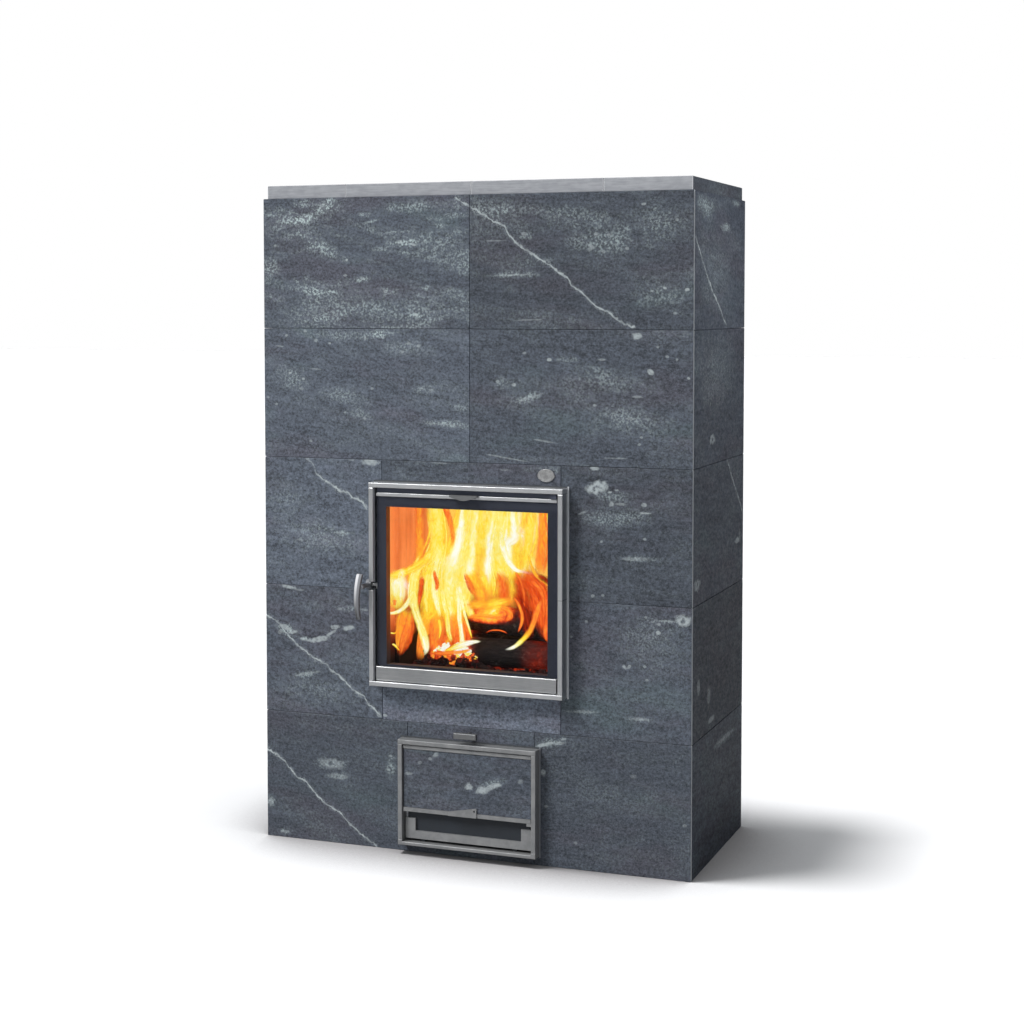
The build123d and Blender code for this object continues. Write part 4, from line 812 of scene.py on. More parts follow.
def makeOval():
    # cast plate: pale metal with a pitted, rubbed face
    material, shader, place = startMaterial("ovalPlateFinish", Metallic=ovalLook["metallic"])
    pits = noise(place, 650.0, 5.0, 0.7)
    worn = noise(place, 120.0, 4.0, 0.6)
    finish(shader, Base_Color=blended(spread(worn, 0.35, 0.65), ovalLook["dark"], ovalLook["pale"]))
    finish(shader, Roughness=spread(pits, 0.3, 0.7, 0.5, 0.36))
    bump(shader, pits, 0.35, 0.0004)
    return material


def makeGlass():
    # clear ceramic glass: nearly all light goes through, with a faint haze of soot and gloss at a slant
    material, shader, place = startMaterial(
        "ceramicGlass", Base_Color=glassLook["tone"], Roughness=glassLook["rough"], IOR=1.5
    )
    material.surface_render_method = "BLENDED"
    blend, gloss = glassLook["slant"]
    slant = addStep(shader, "ShaderNodeLayerWeight")
    slant.inputs["Blend"].default_value = blend
    haze = spread(noise(place, 9.0, 4.0, 0.6), 0.4, 0.8, *glassLook["haze"])
    finish(shader, Alpha=calc("MULTIPLY_ADD", slant.outputs["Fresnel"], gloss, haze, clamp=True))
    return material


dress(makeOval(), "oval_plate")
dress(makeGlass(), "door_glass")

core = {
    "sawn": (0.16, 0.165, 0.16, 1),
    "sooty": (0.05, 0.045, 0.04, 1),
    "charred": (0.006, 0.005, 0.005, 1),
    "fleck": (0.3, 0.3, 0.29, 1),
    "hidden": ["base_slab", "ash_chamber_walls", "throat_slab", "upper_chamber_walls", "core_roof_slab"],
    # heights where the fire's light starts on the lining, and where the soot behind the logs ends
    "glowFrom": (0.45, 0.62),
    "sootTo": (0.46, 0.54),
    # the two upper tones of the fire's light on the side walls and on the back wall
    "sideHeats": ((0.6, 0.65, 0.10, 0.015), (1.0, 1.0, 0.24, 0.055)),
    "backHeats": ((0.6, 1.0, 0.33, 0.04), (1.0, 1.0, 0.68, 0.11)),
}
fibres = {
    # stretch, then scale, detail and roughness of the grain, two tones, strength and distance of the relief
    "fibreBoard": (
        (1, 1, 0.1), (240.0, 4.0, 0.7), ((0.55, 0.53, 0.48, 1), (0.78, 0.76, 0.71, 1)), (0.4, 0.001)
    ),
    "wovenGlassFibre": (
        (1, 1, 1), (900.0, 3.0, 0.6), ((0.10, 0.095, 0.085, 1), (0.34, 0.32, 0.29, 1)), (0.5, 0.0004)
    ),
}


def makeCore(name, soot):
    # sawn core stone with sooty patches and pale flecks
    material, shader, place = startMaterial(name, Roughness=0.85)
    grain = noise(placed(place, stretch=(0.4, 0.4, 1)), 60.0, 6.0, 0.7)
    patch = noise(place, 6.0, 4.0, 0.6)
    tone = blended(spread(patch, 0.35, 0.7), core["sawn"], core["sooty"])
    tone = blended(soot, tone, core["sooty"])
    finish(shader, Base_Color=blended(spread(grain, 0.4, 0.7, 0.0, 0.5), tone, core["fleck"]))
    bump(shader, grain, 0.5, 0.001)
    return material


def makeGlowingWall(name, heats):
    # firebox lining that glows with the fire's light: bright above, dark behind the logs
    material, shader, place = startMaterial(name, Roughness=0.9, Emission_Strength=1.0)
    grain = noise(placed(place, stretch=(0.5, 0.5, 0.25)), 26.0, 5.0, 0.6)
    streak = noise(placed(place, stretch=(1, 1, 0.08)), 22.0, 4.0, 0.6)
    height = sharesOf(place)["Z"]
    lining = blended(spread(grain, 0.35, 0.7), core["sooty"], core["sawn"])
    finish(shader, Base_Color=blended(falling(height, *core["sootTo"]), lining, core["charred"]))
    level = times(
        spread(height, *core["glowFrom"]),
        spread(streak, 0.3, 0.7, 0.75, 1.1),
        spread(grain, 0.2, 0.8, 0.85, 1.1),
    )
    glow = coloured(level, [(0.0, 0.0, 0.0, 0.0), (0.25, 0.12, 0.008, 0.002), *heats])
    finish(shader, Emission_Color=glow)
    bump(shader, grain, 0.4, 0.001)
    return material


def makeFibre(name, stretch, grain, tones, bumps):
    # matt fibre: one grain between two tones, which also gives the relief
    material, shader, place = startMaterial(name, Roughness=0.95)
    fibre = noise(placed(place, stretch=stretch), *grain)
    finish(shader, Base_Color=blended(fibre, *tones))
    bump(shader, fibre, *bumps)
    return material


dress(makeCore("sawnStone", 0.0), *core["hidden"])
dress(makeGlowingWall("glowingSideWalls", core["sideHeats"]), "firebox_side_walls")
dress(makeGlowingWall("glowingBackWall", core["backHeats"]), "firebox_back_wall")
dress(makeCore("sootedFloor", 0.85), "firebox_floor")
dress(makeFibre("fibreBoard", *fibres["fibreBoard"]), "insulation_board")
print("metal, glass and core finished")


# Meshes from numpy grids

def gridFaces(rows, columns, closedRows=False, closedColumns=False):
    # quads of a grid of points, with the last row or column joined to the first where it is closed
    rowIndex = np.arange(rows if closedRows else rows - 1)[:, None]
    columnIndex = np.arange(columns if closedColumns else columns - 1)[None, :]
    nextRow = (rowIndex + 1) % rows
    nextColumn = (columnIndex + 1) % columns
    corners = [
        rowIndex * columns + columnIndex,
        rowIndex * columns + nextColumn,
        nextRow * columns + nextColumn,
        nextRow * columns + columnIndex,
    ]
    return np.stack([np.broadcast_to(c, corners[0].shape) for c in corners], -1).reshape(-1, 4)


def inScene(name, data):
    thing = bpy.data.objects.new(name, data)
    bpy.context.scene.collection.objects.link(thing)
    return thing


def newPiece(name, points, faces, material):
    mesh = bpy.data.meshes.new(name)
    mesh.from_pydata(points.reshape(-1, 3).tolist(), [], faces)
    mesh.polygons.foreach_set("use_smooth", np.full(len(mesh.polygons), True))
    mesh.materials.append(material)
    mesh.update()
    return inScene(name, mesh)


def layUv(piece, label, values):
    # one UV pair for each point, carried to the corners of its faces
    mesh = piece.data
    layer = mesh.uv_layers.new(name=label)
    corner = np.zeros(len(mesh.loops), dtype=np.int32)
    mesh.loops.foreach_get("vertex_index", corner)
    layer.data.foreach_set("uv", values.reshape(-1, 2)[corner].astype(np.float32).ravel())


def smoothPath(points, count):
    # points along a curve through the given ones: each span is a cubic whose slopes follow its neighbours
    given = np.array(points, float)
    padded = np.vstack([2 * given[0] - given[1], given, 2 * given[-1] - given[-2]])
    at = np.linspace(0, len(given) - 1, count)
    span = np.minimum(at.astype(int), len(given) - 2)
    t = (at - span)[:, None]
    a, b, c, d = (padded[span + k] for k in range(4))
    return 0.5 * (2 * b + (c - a) * t + (2 * a - 5 * b + 4 * c - d) * t**2 + (3 * b - a - 3 * c + d) * t**3)


# Camera

view = {
    "place": (1.5230, -4.0278, 1.2370),
    "turn": (86.93, 0.0, 20.54),
    "lens": 65.09,
    "sensor": 36.0,
    "rise": -0.105,
}
camera = inScene("camera", bpy.data.cameras.new("camera"))
camera.location = view["place"]
camera.rotation_euler = [math.radians(a) for a in view["turn"]]
camera.data.lens = view["lens"]
camera.data.sensor_width = view["sensor"]
camera.data.shift_y = view["rise"]
bpy.context.scene.camera = camera


# Logs, embers and flames

def cellEdges(across, around, count, seed):
    # distance to the border between jittered cells on a strip that closes after count cells around
    jitter = np.random.default_rng(seed).random((64, count, 2)) * 0.8 + 0.1
    column, row = np.floor(across).astype(int), np.floor(around).astype(int)
    nearest = np.full(across.shape, 9.0)
    second = np.full(across.shape, 9.0)
    for stepAcross in (-1, 0, 1):
        for stepAround in (-1, 0, 1):
            i, j = column + stepAcross, row + stepAround
            spot = jitter[i % 64, j % count]
            away = np.hypot(i + spot[..., 0] - across, j + spot[..., 1] - around)
            second = np.minimum(second, np.maximum(away, nearest))
            nearest = np.minimum(nearest, away)
    return second - nearest


def carry(piece, name, grids):
    # one number for each point of the mesh, for the material to read
    layer = piece.data.attributes.new(name, "FLOAT", "POINT")
    layer.data.foreach_set("value", np.concatenate([np.ravel(grid) for grid in grids]).astype(np.float32))


def readNumber(near, name):
    step = addStep(near, "ShaderNodeAttribute")
    step.attribute_name = name
    return step.outputs["Fac"]


fireHeats = [
    (0.0, 0.0, 0.0, 0.0), (0.2, 0.10, 0.006, 0.002), (0.35, 0.45, 0.03, 0.005), (0.45, 0.80, 0.085, 0.012),
    (0.55, 1.0, 0.21, 0.03), (0.68, 1.0, 0.45, 0.03), (0.78, 1.0, 0.74, 0.05), (0.88, 1.0, 0.90, 0.28),
    (1.0, 1.0, 1.0, 0.88),
]
logSizes = {
    "radius": 0.034,
    "length": 0.330,
    "alongCell": 0.020,
    "aroundCells": 13,
    "crackDepth": 0.0035,
    "steps": 110,
    "sides": 104,
    "capRings": 7,
    "crackWidth": 0.16,
    "burntEnd": 0.006,
    "dullAt": 0.115,
    "dullWidth": 0.05,
    # middle in X, Y, Z, turn in degrees, where along it it glows, how far and how strongly, how much of the
    # glow leaves the underside dark, and the strength of a dull red glow near its right end
    "places": [
        (0.0, -0.079, 0.437, 2.0, -0.095, 0.05, 0.66, 0.0, 0.25),
        (0.0, 0.005, 0.437, -2.0, -0.12, 0.05, 0.5, 0.0, 0.0),
        (0.0, -0.037, 0.5054, -22.0, -0.008, 0.072, 0.74, 1.0, 0.0),
    ],
}


def makeLogShape(index, x, y, z, turn, hotAt, hotWidth, hotness, topOnly, dullRed):
    # a round of wood: radius = mean radius x (1 + slow lumps) - cracks between char blocks; its two ends are
    # rings that close towards the middle of the sawn face
    size = logSizes
    half, rings, steps = size["length"] / 2, size["capRings"], size["steps"]
    along = np.concatenate([np.full(rings, -half), np.linspace(-half, half, steps), np.full(rings, half)])
    cap = np.linspace(0, 0.94, rings)
    share = np.concatenate([cap, np.ones(steps), cap[::-1]])
    angle = np.linspace(0, 2 * np.pi, size["sides"], endpoint=False)
    s, a = np.meshgrid(along, angle, indexing="ij")
    r = share[:, None] * np.ones_like(a)
    lump = (
        np.sin(2 * a + 9 * s + index)
        + 0.7 * np.sin(3 * a - 14 * s + 2 * index)
        + 0.5 * np.sin(5 * a + 31 * s)
    )
    around = size["aroundCells"]
    edge = cellEdges(s / size["alongCell"] + 20, a / (2 * np.pi) * around, around, index)
    crack = np.clip(1 - edge / size["crackWidth"], 0, 1) ** 1.5 * (share[:, None] > 0.99)
    body = (size["radius"] * (0.965 + 0.012 * lump) - size["crackDepth"] * crack) * r
    burnt = size["burntEnd"] * (np.sin(3 * a + index) + np.sin(7 * a)) * (np.abs(s) > half - 1e-6) * r
    side = s - np.sign(s) * np.abs(burnt) * 0.5
    out = body * np.cos(a)
    c, q = math.cos(math.radians(turn)), math.sin(math.radians(turn))
    points = np.stack([x + side * c - out * q, y + side * q + out * c, z + body * np.sin(a)], -1)
    glow = hotness * np.exp(-((s - hotAt) / hotWidth) ** 2)
    upper = np.clip(0.3 + 1.6 * np.sin(a) + 0.25 * lump, 0, 1)
    glow = glow * (1 - topOnly + topOnly * upper) * (0.75 + 0.25 * np.clip(-np.cos(a) + 0.4, 0, 1))
    glow = glow + dullRed * np.exp(-((s - size["dullAt"]) / size["dullWidth"]) ** 2)
    return points, crack, glow


charredLook = {
    "tones": ((0.006, 0.005, 0.006, 1), (0.03, 0.022, 0.02, 1)),
    "ash": (0.20, 0.18, 0.17, 1),
    "strength": 1.1,
    # how much the cracks, the patches and the specks add to the heat
    "charredWood": (0.12, 0.8, 0.25),
    "glowingEmbers": (0.4, 0.9, 0.5),
}


def makeCharred(name):
    # charred wood: black blocks with grey ash on them and glowing cracks, hot where the piece says
    look = charredLook
    material, shader, place = startMaterial(name, Roughness=0.9, Emission_Strength=look["strength"])
    grain = noise(placed(place, stretch=(0.2, 1, 1)), 260.0, 5.0, 0.7)
    patch = noise(place, 34.0, 5.0, 0.65)
    speck = noise(place, 190.0, 3.0, 0.6)
    ash = times(spread(patch, 0.56, 0.72), spread(speck, 0.4, 0.6), 0.6)
    tone = blended(spread(grain, 0.35, 0.7), *look["tones"])
    finish(shader, Base_Color=blended(ash, tone, look["ash"]))
    heat, crack = readNumber(shader, "glowing"), readNumber(shader, "crack")
    cracked, patched, specked = look[name]
    level = plus(heat, times(crack, heat, cracked))
    level = plus(level, times(minus(patch, 0.5), patched), times(minus(speck, 0.5), specked))
    level = times(level, spread(heat, 0.04, 0.35))
    finish(shader, Emission_Color=coloured(level, fireHeats))
    bump(shader, grain, 0.6, 0.002)
    return material


def weld(piece):
    # joins the doubled points of poles and seams and turns every face outwards
    mesh = bmesh.new()
    mesh.from_mesh(piece.data)
    bmesh.ops.remove_doubles(mesh, verts=mesh.verts, dist=1e-5)
    bmesh.ops.recalc_face_normals(mesh, faces=mesh.faces)
    mesh.to_mesh(piece.data)
    mesh.free()


def joined(shapes, closedColumns=True):
    # several grids as one array of points and one of faces
    points, faces, base = [], [], 0
    for shape in shapes:
        points.append(shape.reshape(-1, 3))
        faces.append(gridFaces(*shape.shape[:2], closedColumns=closedColumns) + base)
        base += points[-1].shape[0]
    return np.concatenate(points), np.concatenate(faces)


logShapes, logCracks, logGlows = zip(*(
    makeLogShape(index, *place) for index, place in enumerate(logSizes["places"])
))
points, faces = joined(logShapes)
logs = newPiece("burning_logs", points, faces.tolist(), makeCharred("charredWood"))
carry(logs, "crack", logCracks)
carry(logs, "glowing", logGlows)
weld(logs)
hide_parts("logs")
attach(logs, "heater")
print("logs:", len(logs.data.polygons), "faces")

emberSizes = {
    "rows": 120,
    "columns": 170,
    "lump": 0.011,
    "chunks": 260,
    "rounds": 7,
    "spokes": 8,
    # the bed: how much of its height lies under the lumps and in them, width of the cracks, heat at the
    # front, rise of heat behind it and how far behind that starts
    "level": 0.62,
    "lumps": 0.36,
    "crackWidth": 0.2,
    "bedHeat": (0.08, 0.3, 0.03),
    # the heap against the front log: its middle in X, half its width, its foot, its height, where it starts
    # to glow and how far forward it lies
    "heapAt": -0.086,
    "heapHalf": 0.078,
    "heapFoot": 0.402,
    "heapRise": 0.056,
    "glowFrom": 0.421,
    "heapFront": -0.1185,
    # share of the chunks that lie on the heap, and the smallest and largest half size of a chunk
    "heapShare": 0.7,
    "chunkSizes": (0.004, 0.009),
}


def heapTop(x):
    # the heap's height: a bow over its width
    size = emberSizes
    bow = 1 - ((x - size["heapAt"]) / size["heapHalf"]) ** 2
    return size["heapFoot"] + size["heapRise"] * np.clip(bow, 0, 1)


def warmth(x, z):
    # embers glow above the heap's dark foot, whiter towards its top, and are dull red beside it
    size = emberSizes
    inside = np.clip(1.2 - np.abs(x - size["heapAt"]) / size["heapHalf"], 0, 1)
    return 0.1 + 0.84 * inside**0.5 * np.clip((z - size["glowFrom"]) / 0.02, 0, 1)


def makeBed():
    # a low mound of lumps: height = foot + rim slope x (mean + cell bumps)
    size = emberSizes
    low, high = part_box("ember_bed")
    steps = np.linspace(0, 1, size["rows"]), np.linspace(0, 1, size["columns"])
    u, v = np.meshgrid(*steps, indexing="ij")
    x, y = low.x + v * (high.x - low.x), low.y + u * (high.y - low.y)
    edge = cellEdges(x / size["lump"] + 30, y / size["lump"] + 30, 64, 5)
    rim = np.clip(np.minimum(np.minimum(u, 1 - u) * 9, np.minimum(v, 1 - v) * 12), 0, 1) ** 0.5
    lumps = size["level"] + size["lumps"] * np.clip(edge * 1.8, 0, 1)
    z = low.z + 0.0005 + rim * ((high.z - low.z) * lumps)
    crack = np.clip(1 - edge / size["crackWidth"], 0, 1)
    heat, rise, behind = size["bedHeat"]
    glow = heat + rise * np.clip((y - low.y - behind) / 0.02, 0, 1) - 0.1 * (1 - crack)
    return np.stack([x, y, z], -1), np.stack([x, y, np.full_like(z, low.z)], -1), glow, crack


def makeChunks():
    # ragged pebbles: a ball stretched by three half sizes, each of its points pushed in or out a little
    size = emberSizes
    low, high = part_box("ember_bed")
    heapLow, heapHigh = (size["heapAt"] + side * 1.2 * size["heapHalf"] for side in (-1, 1))
    draw = np.random.default_rng(12)
    rounds = np.linspace(0, np.pi, size["rounds"])
    spokes = np.linspace(0, 2 * np.pi, size["spokes"], endpoint=False)
    p, q = np.meshgrid(rounds, spokes, indexing="ij")
    ball = np.stack([np.sin(p) * np.cos(q), np.sin(p) * np.sin(q), np.cos(p)], -1)
    chunks, heats = [], []
    for index in range(size["chunks"]):
        if index < size["chunks"] * size["heapShare"]:
            x = draw.uniform(heapLow, heapHigh)
            z = draw.uniform(size["heapFoot"], max(heapTop(x), size["heapFoot"] + 0.006))
            y = size["heapFront"] + 0.35 * max(z - 0.44, 0) - draw.uniform(0, 0.006)
        else:
            x = draw.uniform(low.x + 0.01, high.x - 0.01)
            y = draw.uniform(low.y + 0.01, high.y - 0.01)
            z = high.z - 0.001
        halves = draw.uniform(*size["chunkSizes"], 3)
        ragged = 1 + 0.22 * draw.standard_normal(p.shape)
        ragged[0], ragged[-1] = 1, 1
        chunks.append(np.array([x, y, z]) + ball * halves * ragged[..., None])
        heat = warmth(x, z)
        heats.append(np.full(p.shape, heat + draw.normal(0, 0.12 if heat > 0.3 else 0.05)))
    return chunks, heats


bedTop, bedBottom, bedGlow, bedCrack = makeBed()
chunks, chunkHeats = makeChunks()
rows, columns = bedTop.shape[:2]
half = rows * columns
rim = np.concatenate([
    np.arange(columns), np.arange(1, rows) * columns + columns - 1,
    (rows - 1) * columns + np.arange(columns - 2, -1, -1), np.arange(rows - 2, 0, -1) * columns,
])
after = np.roll(rim, -1)
skirt = np.stack([rim, rim + half, after + half, after], -1)
bedPoints, bedFaces = joined([bedTop, bedBottom], False)
chunkPoints, chunkFaces = joined(chunks)
points = np.concatenate([bedPoints, chunkPoints])
faces = np.concatenate([bedFaces, skirt, chunkFaces + 2 * half])
embers = newPiece("glowing_embers", points, faces.tolist(), makeCharred("glowingEmbers"))
bare = np.zeros(half)
carry(embers, "glowing", [bedGlow, bare, *chunkHeats])
carry(embers, "crack", [bedCrack, bare, np.full(len(chunkPoints), 0.3)])
weld(embers)
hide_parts("ember_bed")
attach(embers, "heater")
print("embers:", len(embers.data.polygons), "faces")

glassLow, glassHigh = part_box("door_glass")
window = {
    # the opening in front of the glass: its low left and high right corner in X and Z, and its place in Y
    "low": (glassLow.x + 0.020, glassLow.z + 0.0042),
    "high": (glassHigh.x - 0.020, glassHigh.z - 0.0227),
    "depth": -0.235,
    # half the width between the firebox walls
    "wall": 0.193,
}
flame = {
    "steps": 30,
    "sides": 12,
    # thickness beside width, share of the length over which each end tapers, metres of the streaks' grain
    "flatness": 0.22,
    "taper": 0.1,
    "grainWide": 0.014,
    "grainLong": 0.036,
    "strength": 1.15,
    # how many layers the tongues of one depth are parted into, and how far apart, in metres
    "layers": 9,
    "layerStep": 0.0011,
    # strands woven over each body and each wide tongue: their number and their width beside their parent's
    "bodyWisps": (4, 0.18),
    "tongueWisps": (1, 0.32),
    "wideFrom": 2.4,
}

